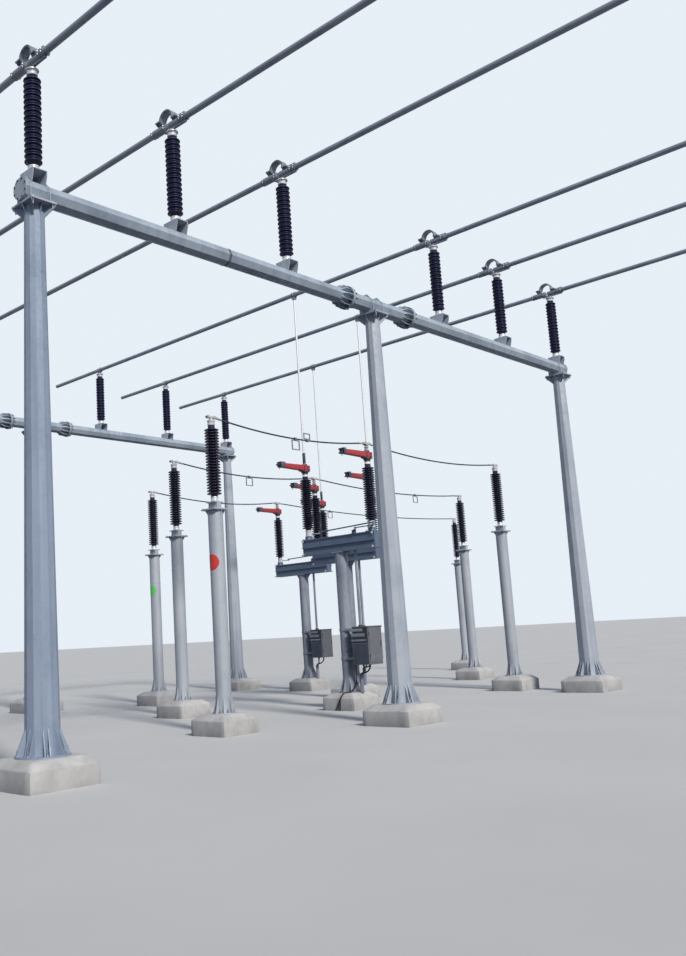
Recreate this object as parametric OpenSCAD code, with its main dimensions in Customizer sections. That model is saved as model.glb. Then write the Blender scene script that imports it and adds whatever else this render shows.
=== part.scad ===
// Substation switchgear bay: two tubular steel portals carry six tubular busbars on post
// insulators, and three centre-break disconnectors join three feeder phases to three busbars.
// Millimetres, Z up. Lengths along X follow the portal beams, lengths along Y the busbars.
// The site frame has its zero at the front left column's axis; place() moves it to the
// middle of the bay's footprint, at the undersides of the foundation blocks.

/* [Layout] */
// Distance between neighbouring phases of one circuit
phase_spacing = 2500; // [2200:10:2800]
// Distance between the two circuits' nearest phases
circuit_gap = 4600; // [4300:10:5400]
// Distance from the front portal to the rear portal
portal_depth = 11600; // [11200:10:13000]
// Distance from the front portal to the first feeder row
feeder_start = 2110; // [1900:10:2500]
// Distance between feeder rows
feeder_pitch = 3690; // [3400:10:3750]
// Distance from the first pole to the post on its left
left_span_1 = 4570; // [4000:10:4700]
// Distance from the second pole to the post on its left
left_span_2 = 4810; // [4000:10:5200]
// Distance from the third pole to the post on its left
left_span_3 = 4930; // [4000:10:5200]
// Distance from the first pole to the post on its right
right_span_1 = 5300; // [4800:10:6000]
// Distance from the second pole to the post on its right
right_span_2 = 6900; // [6000:10:7500]
// Distance from the third pole to the post on its right
right_span_3 = 9800; // [8500:10:10500]

/* [Foundations] */
// Side of a portal foundation block
portal_block_w = 1020; // [900:5:1200]
// Side of a post foundation block
post_block_w = 860; // [800:5:900]
// Side of a disconnector foundation block
pole_block_w = 880; // [800:5:960]
// Height of a block at its middle
block_h = 350; // [280:5:420]
// Fall of the weathered top from the middle to the edge
block_fall = 80; // [40:5:120]
// Width of the weathered border
block_border = 130; // [80:5:140]

/* [Portal columns] */
// Height of the column above its block
column_h = 7075; // [6500:5:7400]
// Width of the column at its foot, corner to corner
column_foot_w = 440; // [400:5:460]
// Width of the column at its head, corner to corner
column_head_w = 265; // [240:5:300]
// Number of flat sides of the column
column_sides = 12; // [8, 12]
// Width of the ring of foot gussets
foot_gusset_w = 660; // [600:5:740]
// Height of the foot gussets
foot_gusset_h = 340; // [250:5:420]
// Number of gusset pairs around the foot
foot_gusset_pairs = 8; // [6:1:8]

/* [Portal beams] */
// Width of the eight-sided beam, corner to corner
beam_w = 287; // [250:1:300]
// Overhang of the beam past the end columns
beam_overhang = 205; // [190:5:300]
// Distance from the middle column to the splice on its left
splice_left = 750; // [650:5:900]
// Distance from the middle column to the splice on its right
splice_right = 1100; // [900:5:1300]
// Diameter of a splice flange
flange_d = 430; // [400:5:480]
// Thickness of one splice flange
flange_t = 25; // [16:1:30]
// Length of the splice gussets
splice_gusset_l = 275; // [150:5:300]

/* [Saddles] */
// Length of the cap plate along the beam
cap_plate_l = 390; // [370:5:450]
// Width of the cap plate across the beam
cap_plate_w = 490; // [440:5:540]
// Thickness of the cap plate
cap_plate_t = 25; // [16:1:30]
// Clear height from the cap plate to the beam's lowest corner
saddle_gap = 27; // [15:1:60]
// Distance between the two straps of a saddle
strap_pitch = 300; // [295:5:320]
// Width of a strap along the beam
strap_l = 40; // [30:1:44]
// Height of the strap's fin above the beam
strap_fin_h = 48; // [30:1:70]

/* [Pedestals] */
// Height of the pedestal's top above the beam's axis
pedestal_h = 290; // [260:1:400]
// Width of the pedestal along the beam
pedestal_l = 224; // [200:2:230]
// Width of the pedestal's top across the beam
pedestal_w = 310; // [280:2:340]
// Thickness of the pedestal's plates
pedestal_t = 12; // [8:1:16]

/* [Insulators] */
// Height of a post insulator with its caps
insulator_h = 1500; // [1400:5:1600]
// Height of the turning insulator on a disconnector, without its caps
turning_core_h = 1225; // [1150:5:1300]
// Diameter of the large sheds on the portals' insulators
shed_d = 242; // [220:1:260]
// Diameter of the small sheds on the portals' insulators
small_shed_d = 212; // [180:1:214]
// Diameter of the sheds on the posts' and the turning insulators
post_shed_d = 266; // [240:1:280]
// Diameter of the porcelain core
core_d = 128; // [110:1:140]
// Number of large sheds on a portal's insulator
shed_count = 16; // [12:1:16]
// Number of sheds on a post's insulator
post_shed_count = 23; // [19:2:25]
// Number of sheds on a turning insulator
turning_shed_count = 23; // [19:2:25]
// Height of a post insulator's metal cap
cap_h = 92; // [80:1:110]
// Diameter of a metal cap's flange
cap_flange_d = 190; // [180:1:200]

/* [Busbars] */
// Diameter of the busbar tubes
busbar_d = 100; // [80:1:110]
// Height of the busbar's axis above its insulator
busbar_lift = 120; // [110:1:150]
// Length of busbar in front of the front portal
near_overhang = 6200; // [5000:10:6500]
// Length of busbar behind the rear portal
far_overhang = 2200; // [1500:10:3000]
// Gap between the two tubes in an expansion clamp
tube_gap = 50; // [30:1:70]

/* [Feeder posts] */
// Diameter of the post tubes
post_d = 273; // [219:1:300]
// Height of the head plate's top above the block
post_h = 3580; // [3300:5:3800]
// Side of the head plate
head_plate_w = 360; // [350:5:420]
// Thickness of the head plate
head_plate_t = 26; // [16:1:30]
// Side of the head box
head_box_w = 225; // [220:5:260]
// Height of the head box
head_box_h = 112; // [90:1:130]
// Thickness of the box's top plate
head_top_t = 18; // [12:1:24]
// Diameter of the phase discs
phase_disc_d = 285; // [240:5:330]
// Height of the phase discs above the block
phase_disc_z = 2620; // [2400:10:2900]

/* [Conductors] */
// Diameter of the stranded conductor
conductor_d = 32; // [26:1:40]
// Sag of the conductors in the short spans on the left
left_sag = 150; // [80:5:170]
// Sag of the conductors in the spans on the right
right_sag = 150; // [80:5:250]
// Height of the conductor's axis above a post insulator
conductor_lift = 60; // [50:1:80]
// Diameter of the droppers
dropper_d = 46; // [36:1:50]
// Width of an earthing loop
loop_w = 225; // [150:5:260]
// Height of an earthing loop
loop_h = 200; // [160:5:260]
// Width of the raised loop
raised_loop_w = 190; // [150:5:240]
// Height of the raised loop
raised_loop_h = 125; // [100:5:180]

/* [Disconnectors] */
// Distance between the two insulators of a pole
pole_spacing = 1800; // [1760:10:1840]
// Diameter of the pole's column
pole_column_d = 280; // [250:1:300]
// Height of the column's head above the block
pole_column_h = 3010; // [2850:5:3100]
// Length of the base beam
base_beam_l = 2040; // [2020:10:2300]
// Width of the base beam
base_beam_w = 260; // [240:2:300]
// Height of the base beam
base_beam_h = 350; // [300:2:380]
// Diameter of the insulator bearings
bearing_d = 170; // [150:1:190]
// Height of the insulator bearings
bearing_h = 80; // [70:1:90]
// Diameter of the bearing's shaft
spindle_d = 60; // [50:1:70]
// Reach of each arm past its axis towards the contact
arm_reach = 920; // [905:1:925]
// Length of the arm behind its axis
arm_tail = 130; // [100:5:180]
// Width of the arm
arm_w = 110; // [90:1:120]
// Height of the arm at its axis
arm_h = 130; // [110:1:140]
// Length of the contact at the arm's end
contact_l = 200; // [150:5:300]
// Height of the drive cabinet
cabinet_h = 800; // [700:5:900]
// Width of the drive cabinet
cabinet_w = 460; // [380:5:500]
// Depth of the drive cabinet
cabinet_d = 420; // [380:5:460]
// Height of the cabinet's underside above the block
cabinet_z = 580; // [450:5:700]

/* [Clearances] */
// Gap round a tube or conductor in its clamp
clamp_gap = 0.3; // [0.2:0.1:0.5]
// Running gap round a spindle or pin
pin_gap = 0.5; // [0.3:0.1:0.8]
// Gap between parts that turn past each other
turn_gap = 5; // [5:1:6]

/* [Hidden] */
$fn = 32;

steel = [0.66, 0.70, 0.75];
dark_steel = [0.28, 0.32, 0.38];
porcelain = [0.10, 0.11, 0.17];
bright_metal = [0.85, 0.86, 0.86];
aluminium = [0.62, 0.64, 0.64];
concrete = [0.78, 0.76, 0.71];
arm_red = [0.72, 0.14, 0.13];
cabinet_grey = [0.48, 0.50, 0.53];

// Busbars, left to right
bus_x = [
    0, phase_spacing, 2 * phase_spacing,
    2 * phase_spacing + circuit_gap, 3 * phase_spacing + circuit_gap, 4 * phase_spacing + circuit_gap
];
column_x = [0, bus_x[5] / 2, bus_x[5]];
portal_y = [0, portal_depth];

// Poles stand under the right circuit, each beside its own feeder row
row_y = [feeder_start, feeder_start + feeder_pitch, feeder_start + 2 * feeder_pitch];
pole_x = [bus_x[3], bus_x[4], bus_x[5]];
feeder_side = [-1, 1, 1];
pole_y = [for (i = [0:2]) row_y[i] - feeder_side[i] * pole_spacing / 2];
left_post_x = [pole_x[0] - left_span_1, pole_x[1] - left_span_2, pole_x[2] - left_span_3];
right_post_x = [pole_x[0] + right_span_1, pole_x[1] + right_span_2, pole_x[2] + right_span_3];
post_places = [for (i = [0:2]) each [[left_post_x[i], row_y[i]], [right_post_x[i], row_y[i]]]];

// Small fixed sizes
end_plate_t = 12;
clamp_bar_l = 210;
clamp_bar_w = 70;
clamp_bar_h = 44;
spindle_gap = 0.5;
foot_cap_h = 140;
head_cap_h = 145;

// Footprint
min_x = -max(portal_block_w / 2, beam_overhang + end_plate_t);
max_x = max(right_post_x[2] + post_block_w / 2, column_x[2] + portal_block_w / 2);
min_y = -near_overhang;
max_y = portal_depth + far_overhang;
mid = [(min_x + max_x) / 2, (min_y + max_y) / 2, 0];

// Heights of the portals
column_top_z = block_h + column_h;
beam_z = column_top_z + cap_plate_t + saddle_gap + beam_w / 2;
pedestal_z = beam_z + pedestal_h;
busbar_z = pedestal_z + insulator_h + busbar_lift;
beam_turn = 180 / 8;
beam_flat = beam_w * cos(beam_turn);

// Heights of the feeder posts
head_z = block_h + post_h;
post_insulator_z = head_z + head_box_h + head_top_t;
conductor_z = post_insulator_z + insulator_h + conductor_lift;

// Heights of the disconnectors
pole_top_z = block_h + pole_column_h;
base_beam_z = pole_top_z;
base_top_z = base_beam_z + base_beam_h;
bearing_top_z = base_top_z + bearing_h;
turning_z = bearing_top_z + turn_gap;
turning_core_z = turning_z + foot_cap_h;
turning_head_z = turning_core_z + turning_core_h;
arm_z = turning_head_z + head_cap_h;
arm_top_z = arm_z + arm_h;
terminal_z = arm_top_z + turn_gap;
terminal_top_z = conductor_z + clamp_bar_h / 2;

// Cranks that couple the two insulators and the drive
crank_r = 250;
crank_turn = 225;
crank_t = 20;
crank_w = 50;
crank_pin_d = 24;
drive_offset = 400;
cabinet_back = 340;
near_crank_z = turning_core_z - 95;
sync_rod_d = 36;
sync_rod_z = near_crank_z + crank_t + turn_gap + sync_rod_d / 2;
link_rod_d = 30;
link_rod_z = near_crank_z - turn_gap - link_rod_d / 2;
drive_crank_z = link_rod_z - link_rod_d / 2 - turn_gap - crank_t;
shaft_d = 60;

// Moves the site frame to the middle of the footprint
module place() {
    translate(-mid) children();
}

// Stands its children at each column of one portal
module at_columns(y) {
    for (x = column_x) translate([x, y, 0]) children();
}

// Stands its children at each busbar of one portal
module at_busbars(y) {
    for (x = bus_x) translate([x, y, 0]) children();
}

// Stands its children at each feeder post
module at_posts() {
    for (p = post_places) translate([p[0], p[1], 0]) children();
}

// Stands its children at each disconnector's column
module at_poles() {
    for (i = [0:2]) translate([pole_x[i], pole_y[i], 0]) children();
}

// Stands its children at both insulators of each disconnector
module at_pole_insulators() {
    at_poles() for (side = [-1, 1]) translate([0, side * pole_spacing / 2, 0]) children();
}

// Foundations

// Square concrete block with a top that falls away along its four edges
module block(w) {
    fall_angle = atan(block_fall / block_border);
    difference() {
        translate([-w / 2, -w / 2, 0]) cube([w, w, block_h]);
        for (a = [0:90:270])
            rotate([0, 0, a])
                translate([w / 2 - block_border, -w, block_h])
                    rotate([0, fall_angle, 0]) cube([2 * block_border, 2 * w, block_h]);
    }
}

module portal_foundations() {
    color(concrete) for (y = portal_y) at_columns(y) block(portal_block_w);
}

module post_foundations() {
    color(concrete) at_posts() block(post_block_w);
}

module disconnector_foundations() {
    color(concrete) at_poles() block(pole_block_w);
}

// Columns

// Upright triangular plate from the axis out to r, standing on z = 0
module gusset(r, r_top, h, t) {
    toe = 25;
    rotate([90, 0, 0])
        translate([0, 0, -t / 2])
            linear_extrude(t) polygon([[0, 0], [r, 0], [r, toe], [r_top, h], [0, h]]);
}

// Tapered column of flat sides, with pairs of gussets that stand either side of each bolt
module portal_column() {
    foot_plate_t = 20;
    pair_gap = 62;
    gusset_t = 14;
    flare_h = 180;
    head_r = column_head_w / 2;
    corner_a = atan(cap_plate_w / cap_plate_l);
    corner_r = norm([cap_plate_l, cap_plate_w]) / 2;
    cylinder(h = column_h, d1 = column_foot_w, d2 = column_head_w, $fn = column_sides);
    cylinder(h = foot_plate_t, d = foot_gusset_w + 20);
    for (i = [0:foot_gusset_pairs - 1])
        rotate([0, 0, (i + 0.5) * 360 / foot_gusset_pairs])
            for (side = [-1, 1])
                translate([0, side * pair_gap / 2, 0])
                    gusset(foot_gusset_w / 2 - 4, column_foot_w / 2 - 14, foot_gusset_h, gusset_t);
    for (a = [corner_a, 180 - corner_a, 180 + corner_a, -corner_a])
        rotate([0, 0, a])
            translate([0, 0, column_h])
                mirror([0, 0, 1]) gusset(corner_r - 14, head_r - 8, flare_h, gusset_t);
    for (a = [0, 90, 180, 270])
        rotate([0, 0, a])
            translate([0, 0, column_h])
                mirror([0, 0, 1]) gusset(cap_plate_l / 2 - 8, head_r - 8, flare_h - 30, gusset_t);
}

module front_columns() {
    color(steel) at_columns(portal_y[0]) translate([0, 0, block_h]) portal_column();
}

module rear_columns() {
    color(steel) at_columns(portal_y[1]) translate([0, 0, block_h]) portal_column();
}

// Beams

// Eight-sided prism along X from x0 to x1, with a corner up
module octagon_bar(x0, x1, w) {
    translate([x0, 0, beam_z]) rotate([0, 90, 0]) cylinder(h = x1 - x0, d = w, $fn = 8);
}

// Round flange at x, its body towards dir, with gussets back to the tube where wanted.
// A gusset keeps its full height for the first part of its length and then slopes down.
module splice_flange(x, dir, gusseted) {
    rib_count = 12;
    rib_t = 12;
    rib_r = flange_d / 2 - 10;
    slope_start = 0.58 * splice_gusset_l;
    translate([dir < 0 ? x - flange_t : x, 0, beam_z])
        rotate([0, 90, 0]) cylinder(h = flange_t, d = flange_d);
    if (gusseted)
        for (i = [0:rib_count - 1])
            translate([x + dir * flange_t / 2, 0, beam_z])
                rotate([i * 360 / rib_count, 0, 0])
                    rotate([90, 0, 0])
                        translate([0, 0, -rib_t / 2])
                            linear_extrude(rib_t)
                                polygon([
                                    [0, 0], [0, rib_r], [dir * slope_start, rib_r],
                                    [dir * splice_gusset_l, beam_w / 2 - 14], [dir * splice_gusset_l, 0]
                                ]);
}

// Round plate that closes the beam's end, from x on
module end_plate(x) {
    translate([x, 0, beam_z]) rotate([0, 90, 0]) cylinder(h = end_plate_t, d = beam_w + 20);
}

module beam_left() {
    x1 = column_x[1] - splice_left;
    octagon_bar(-beam_overhang, x1, beam_w);
    end_plate(-beam_overhang - end_plate_t);
    splice_flange(x1, -1, true);
}

module beam_middle() {
    x0 = column_x[1] - splice_left;
    x1 = column_x[1] + splice_right;
    octagon_bar(x0, x1, beam_w);
    splice_flange(x0, 1, false);
    splice_flange(x1, -1, true);
}

module beam_right() {
    x0 = column_x[1] + splice_right;
    x1 = column_x[2] + beam_overhang;
    octagon_bar(x0, x1, beam_w);
    end_plate(x1);
    splice_flange(x0, 1, false);
}

module front_beam_left() {
    color(steel) translate([0, portal_y[0], 0]) beam_left();
}

module front_beam_middle() {
    color(steel) translate([0, portal_y[0], 0]) beam_middle();
}

module front_beam_right() {
    color(steel) translate([0, portal_y[0], 0]) beam_right();
}

module rear_beam_left() {
    color(steel) translate([0, portal_y[1], 0]) beam_left();
}

module rear_beam_middle() {
    color(steel) translate([0, portal_y[1], 0]) beam_middle();
}

module rear_beam_right() {
    color(steel) translate([0, portal_y[1], 0]) beam_right();
}

// Saddle: a cap plate on the column and two cradles with straps and fins round the beam
module saddle() {
    cradle_w = beam_w + 40;
    band_t = 8;
    fin_t = 12;
    fin_top = beam_w / 2 + strap_fin_h;
    cap_top = column_top_z + cap_plate_t;
    seat = cap_top - beam_z;
    translate([-cap_plate_l / 2, -cap_plate_w / 2, column_top_z])
        cube([cap_plate_l, cap_plate_w, cap_plate_t]);
    difference() {
        for (side = [-1, 1])
            translate([side * strap_pitch / 2, 0, 0]) {
                octagon_bar(-strap_l / 2, strap_l / 2, beam_w + 2 * band_t);
                translate([-fin_t / 2, 0, beam_z])
                    rotate([90, 0, 90])
                        linear_extrude(fin_t)
                            polygon([
                                [-cradle_w / 2, seat - cap_plate_t / 2],
                                [cradle_w / 2, seat - cap_plate_t / 2],
                                [cradle_w / 2, -30], [cradle_w / 2 - 16, 60], [beam_w / 8, fin_top],
                                [-beam_w / 8, fin_top], [16 - cradle_w / 2, 60], [-cradle_w / 2, -30]
                            ]);
            }
        octagon_bar(-cap_plate_l, cap_plate_l, beam_w);
    }
}

module beam_saddles() {
    color(steel) for (y = portal_y) at_columns(y) saddle();
}

// Pedestal: two side plates over the beam, a back plate and a top plate, open at the front
module pedestal() {
    foot_w = 0.78 * beam_w;
    foot_z = 0.27 * beam_w;
    waist_w = beam_w - 20;
    waist_z = foot_z + 60;
    back_y = pedestal_w / 2;
    difference() {
        union() {
            for (side = [-1, 1])
                translate([side * (pedestal_l / 2 - pedestal_t / 2) - pedestal_t / 2, 0, beam_z])
                    rotate([90, 0, 90])
                        linear_extrude(pedestal_t)
                            polygon([
                                [-foot_w / 2, foot_z], [foot_w / 2, foot_z], [waist_w / 2, waist_z],
                                [back_y, pedestal_h - 70], [back_y, pedestal_h - pedestal_t / 2],
                                [-back_y, pedestal_h - pedestal_t / 2], [-back_y, pedestal_h - 70],
                                [-waist_w / 2, waist_z]
                            ]);
            translate([-pedestal_l / 2, back_y - pedestal_t, beam_z + pedestal_h - 110])
                cube([pedestal_l, pedestal_t, 110 - pedestal_t / 2]);
            translate([-pedestal_l / 2, -back_y, pedestal_z - pedestal_t])
                cube([pedestal_l, 2 * back_y, pedestal_t]);
        }
        octagon_bar(-pedestal_l, pedestal_l, beam_w);
    }
}

module insulator_pedestals() {
    color(steel) for (y = portal_y) at_busbars(y) pedestal();
}

// Insulators

// Porcelain body of height h on z = 0 with n conical sheds, of diameters d1 and d2 in turn
module porcelain_body(h, n, d1, d2) {
    end_l = 45;
    step = (h - 2 * end_l) / n;
    core_r = core_d / 2;
    sheds = [
        for (i = [0:n - 1])
            let (r = (i % 2 == 0 ? d1 : d2) / 2, z = end_l + i * step)
                each [[core_r, z], [r, z + 1], [r, z + 0.25 * step], [core_r, z + 0.8 * step]]
    ];
    rotate_extrude() polygon(concat([[0, 0], [core_r, 0]], sheds, [[core_r, h], [0, h]]));
}

// Metal cap of diameter d with its flange at z = 0
module insulator_cap(d, flange) {
    flange_t = 20;
    cylinder(h = flange_t, d = flange);
    cylinder(h = cap_h, d = d);
}

module insulator_caps(d, flange) {
    insulator_cap(d, flange);
    translate([0, 0, insulator_h]) mirror([0, 0, 1]) insulator_cap(d, flange);
}

module portal_insulators() {
    color(porcelain)
        for (y = portal_y)
            at_busbars(y)
                translate([0, 0, pedestal_z + cap_h])
                    porcelain_body(insulator_h - 2 * cap_h, 2 * shed_count - 1, shed_d, small_shed_d);
}

module portal_insulator_caps() {
    color(bright_metal)
        for (y = portal_y)
            at_busbars(y) translate([0, 0, pedestal_z]) insulator_caps(core_d + 22, cap_flange_d);
}

// Busbars and their clamps

near_tube_end = 40;
main_tube_start = near_tube_end + tube_gap;
near_pad_lift = busbar_d / 2 + 12;
far_pad_lift = busbar_d / 2 + 60;
near_pad_y = -110;
far_pad_y = 255;
pad_l = 110;

// Ring of a clamp round a busbar, from y0 to y1, standing on the insulator
module clamp_ring(y0, y1, d) {
    translate([0, y0, busbar_z]) rotate([-90, 0, 0]) cylinder(h = y1 - y0, d = d);
}

// Expansion clamp: a jaw on the near tube, a sleeve on the main tube, the rail that joins
// them under the tubes, the stem on the insulator and a pad either side for the loop
module expansion_clamp() {
    jaw_d = busbar_d + 30;
    cap_z = pedestal_z + insulator_h;
    jaw_front = -345;
    jaw_back = -205;
    sleeve_front = main_tube_start + 15;
    sleeve_back = 440;
    rail_w = 40;
    rail_z = busbar_z - busbar_d / 2 - 38;
    palm_t = 20;
    difference() {
        union() {
            clamp_ring(jaw_front, jaw_back, jaw_d);
            clamp_ring(sleeve_front, sleeve_back, jaw_d);
            translate([-rail_w / 2, jaw_front + 10, rail_z])
                cube([rail_w, sleeve_front + 50 - jaw_front, 32]);
            translate([0, 0, cap_z]) cylinder(h = 14, d = 118);
            translate([0, 0, cap_z]) cylinder(h = rail_z - cap_z + 16, d = 66);
            translate([-45, jaw_front, busbar_z + near_pad_lift - palm_t])
                cube([90, near_pad_y + pad_l / 2 - jaw_front, palm_t]);
            translate([-45, far_pad_y - pad_l / 2, busbar_z + far_pad_lift - palm_t])
                cube([90, pad_l, palm_t]);
            translate([-25, far_pad_y - 15, busbar_z]) cube([50, 60, far_pad_lift]);
            for (y = [jaw_front + 30, jaw_back - 30, sleeve_front + 30, sleeve_back - 30])
                translate([-78, y - 17, busbar_z - 11]) cube([156, 34, 22]);
        }
        clamp_ring(-near_overhang, portal_depth, busbar_d + 2 * clamp_gap);
    }
}

module expansion_clamps() {
    color(aluminium) at_busbars(portal_y[0]) expansion_clamp();
}

// Flexible loop: two laminated straps bent into a bow between a pair of terminal blocks, the
// far one higher than the near one
module expansion_loop() {
    block_h2 = 24;
    rise = 150;
    half_chord = (far_pad_y - near_pad_y - pad_l) / 2 + 16;
    tilt = atan2(far_pad_lift - near_pad_lift, far_pad_y - near_pad_y - pad_l);
    arch_r = (half_chord * half_chord + rise * rise) / (2 * rise);
    arch_a = 2 * atan2(half_chord, arch_r - rise);
    strap_w = 136;
    lamina_t = 8;
    foot_z = busbar_z + (near_pad_lift + far_pad_lift + block_h2) / 2;
    for (pad = [[near_pad_y, near_pad_lift], [far_pad_y, far_pad_lift]])
        translate([-strap_w / 2 - 4, pad[0] - pad_l / 2, busbar_z + pad[1]])
            cube([strap_w + 8, pad_l, block_h2]);
    translate([0, (near_pad_y + far_pad_y) / 2, foot_z])
        rotate([tilt, 0, 0])
            translate([0, 0, rise - arch_r])
                rotate([90, 0, 90])
                    rotate([0, 0, 90 - arch_a / 2])
                        for (r = [arch_r - 14, arch_r + 2])
                            translate([0, 0, -strap_w / 2])
                                rotate_extrude(angle = arch_a, $fn = 96)
                                    translate([r, 0]) square([lamina_t, strap_w]);
}

module expansion_loops() {
    color(aluminium) at_busbars(portal_y[0]) expansion_loop();
}

// Plain through-clamp on the rear portal
module busbar_clamp() {
    cap_z = pedestal_z + insulator_h;
    difference() {
        union() {
            clamp_ring(-70, 70, busbar_d + 30);
            translate([0, 0, cap_z]) cylinder(h = 14, d = 118);
            translate([-36, -45, cap_z]) cube([72, 90, busbar_lift]);
            for (y = [-40, 40])
                translate([-78, y - 17, busbar_z - 11]) cube([156, 34, 22]);
        }
        clamp_ring(-200, 200, busbar_d + 2 * clamp_gap);
    }
}

module busbar_clamps() {
    color(aluminium) at_busbars(portal_y[1]) busbar_clamp();
}

// Busbar tube from y0 to y1, modelled solid and closed by a slightly domed end cap
module busbar(y0, y1) {
    translate([0, y0, busbar_z]) rotate([-90, 0, 0]) cylinder(h = y1 - y0, d = busbar_d);
}

module busbars_near() {
    color(aluminium) at_busbars(0) busbar(-near_overhang, near_tube_end);
}

module busbars_main() {
    color(aluminium) at_busbars(0) busbar(main_tube_start, portal_depth + far_overhang);
}

// Feeder posts

// Round column with a foot plate, foot gussets and a haunched head plate
module post_column() {
    foot_plate_t = 16;
    foot_r = 205;
    foot_h = 350;
    gusset_t = 12;
    haunch_h = 110;
    post_r = post_d / 2;
    cylinder(h = post_h - head_plate_t / 2, d = post_d);
    cylinder(h = foot_plate_t, r = foot_r + 10);
    for (a = [0:45:315])
        rotate([0, 0, a]) gusset(foot_r, post_r - 12, foot_h, gusset_t);
    for (a = [0:45:315])
        rotate([0, 0, a])
            translate([0, 0, post_h - head_plate_t / 2])
                mirror([0, 0, 1]) gusset(post_r + 38, post_r - 8, haunch_h, gusset_t);
    translate([-head_plate_w / 2, -head_plate_w / 2, post_h - head_plate_t])
        cube([head_plate_w, head_plate_w, head_plate_t]);
}

module post_columns() {
    color(steel) at_posts() translate([0, 0, block_h]) post_column();
}

// Open channel box and its top plate, which carry the insulator
module post_head() {
    web_t = 14;
    w = head_box_w;
    difference() {
        translate([-w / 2, -w / 2, head_z]) cube([w, w, head_box_h + head_top_t]);
        for (side = [-1, 1])
            translate([side * (w / 2) - (side > 0 ? 60 : 0), -w, head_z + web_t])
                cube([60, 2 * w, head_box_h - web_t]);
    }
}

module post_heads() {
    color(steel) at_posts() post_head();
}

module post_insulators() {
    color(porcelain)
        at_posts()
            translate([0, 0, post_insulator_z + cap_h])
                porcelain_body(insulator_h - 2 * cap_h, post_shed_count, post_shed_d, post_shed_d);
}

module post_insulator_caps() {
    color(bright_metal)
        at_posts() translate([0, 0, post_insulator_z]) insulator_caps(core_d + 6, core_d + 22);
}

// Bar of a clamp along X at the conductor's height, with a flat face towards each lug
module clamp_bar() {
    translate([-clamp_bar_l / 2, -clamp_bar_w / 2, conductor_z - clamp_bar_h / 2])
        cube([clamp_bar_l, clamp_bar_w, clamp_bar_h]);
}

// Clamp on a post insulator: a palm, a short stem and the bar that takes both lugs
module post_clamp() {
    seat_z = post_insulator_z + insulator_h;
    translate([0, 0, seat_z]) cylinder(h = 12, d = 110);
    translate([0, 0, seat_z]) cylinder(h = conductor_z - seat_z, d = 60);
    clamp_bar();
}

module post_clamps() {
    color(aluminium) at_posts() post_clamp();
}

// Thin round plate wrapped round the post, facing the left
module phase_disc() {
    plate_t = 3;
    lift = clamp_gap;
    intersection() {
        difference() {
            cylinder(h = post_h, d = post_d + 2 * (lift + plate_t));
            translate([0, 0, -1]) cylinder(h = post_h + 2, d = post_d + 2 * lift);
        }
        translate([0, 0, phase_disc_z]) rotate([0, -90, 0]) cylinder(h = post_d, d = phase_disc_d);
    }
}

module phase_discs() {
    color(arm_red) translate([left_post_x[0], row_y[0], block_h]) phase_disc();
    color([0.35, 0.85, 0.35]) translate([left_post_x[2], row_y[2], block_h]) phase_disc();
}

// Conductors

// Radius of the arc whose chord is l and whose sag is s
function arc_r(l, s) = (l * l / 4 + s * s) / (2 * s);

// Part of a hanging arc between x0 and x1: the stretch from angle a0 to a1 either side
// of its lowest point, as a tube of diameter d
module hanging_arc(x0, x1, sag, d, a0, a1) {
    r = arc_r(x1 - x0, sag);
    translate([(x0 + x1) / 2, 0, conductor_z + r - sag])
        rotate([90, 0, 0])
            rotate([0, 0, 270 + a0])
                rotate_extrude(angle = a1 - a0, $fn = 1440) translate([r, 0]) circle(d = d, $fn = 24);
}

// Conductor between the clamp faces at x0 and x1, with a flat lug at each end
module span(x0, x1, sag) {
    half_a = asin((x1 - x0) / 2 / arc_r(x1 - x0, sag));
    lug_l = 46;
    lug_w = 50;
    lug_h = 40;
    hanging_arc(x0 + 10, x1 - 10, sag, conductor_d, -half_a, half_a);
    for (x = [x0, x1 - lug_l])
        translate([x, -lug_w / 2, conductor_z - lug_h / 2]) cube([lug_l, lug_w, lug_h]);
}

module conductors() {
    face = clamp_bar_l / 2;
    color(dark_steel)
        for (i = [0:2])
            translate([0, row_y[i], 0]) {
                span(left_post_x[i] + face, pole_x[i] - face, left_sag);
                span(pole_x[i] + face, right_post_x[i] - face, right_sag);
            }
}

// Rectangular frame of square bar round x, w wide and h high, with its top edge at top_z
module loop_frame(x, top_z, w, h) {
    bar = 18;
    for (side = [-1, 1])
        translate([x + side * (w / 2 - bar / 2) - bar / 2, -bar / 2, top_z - h]) cube([bar, bar, h]);
    for (dz = [bar, h])
        translate([x - w / 2, -bar / 2, top_z - dz]) cube([w, bar, bar]);
}

// Rectangular earthing loop on a sleeve round the conductor, at a share of the span from
// its left end. It hangs below the conductor, or stands on it where raised.
module earthing_loop(x0, x1, sag, share, raised = false) {
    drop = conductor_d / 2 + clamp_gap + 8;
    r = arc_r(x1 - x0 - 20, sag);
    x = x0 + share * (x1 - x0);
    angle = asin((x - (x0 + x1) / 2) / r);
    half_a = asin(30 / r);
    z = conductor_z + r - sag - r * cos(angle);
    difference() {
        hanging_arc(x0 + 10, x1 - 10, sag, conductor_d + 28, angle - half_a, angle + half_a);
        hanging_arc(
            x0 + 10, x1 - 10, sag, conductor_d + 2 * clamp_gap, angle - 2 * half_a, angle + 2 * half_a
        );
    }
    if (raised)
        loop_frame(x, z + drop + raised_loop_h, raised_loop_w, raised_loop_h);
    else
        loop_frame(x, z - drop, loop_w, loop_h);
}

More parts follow.
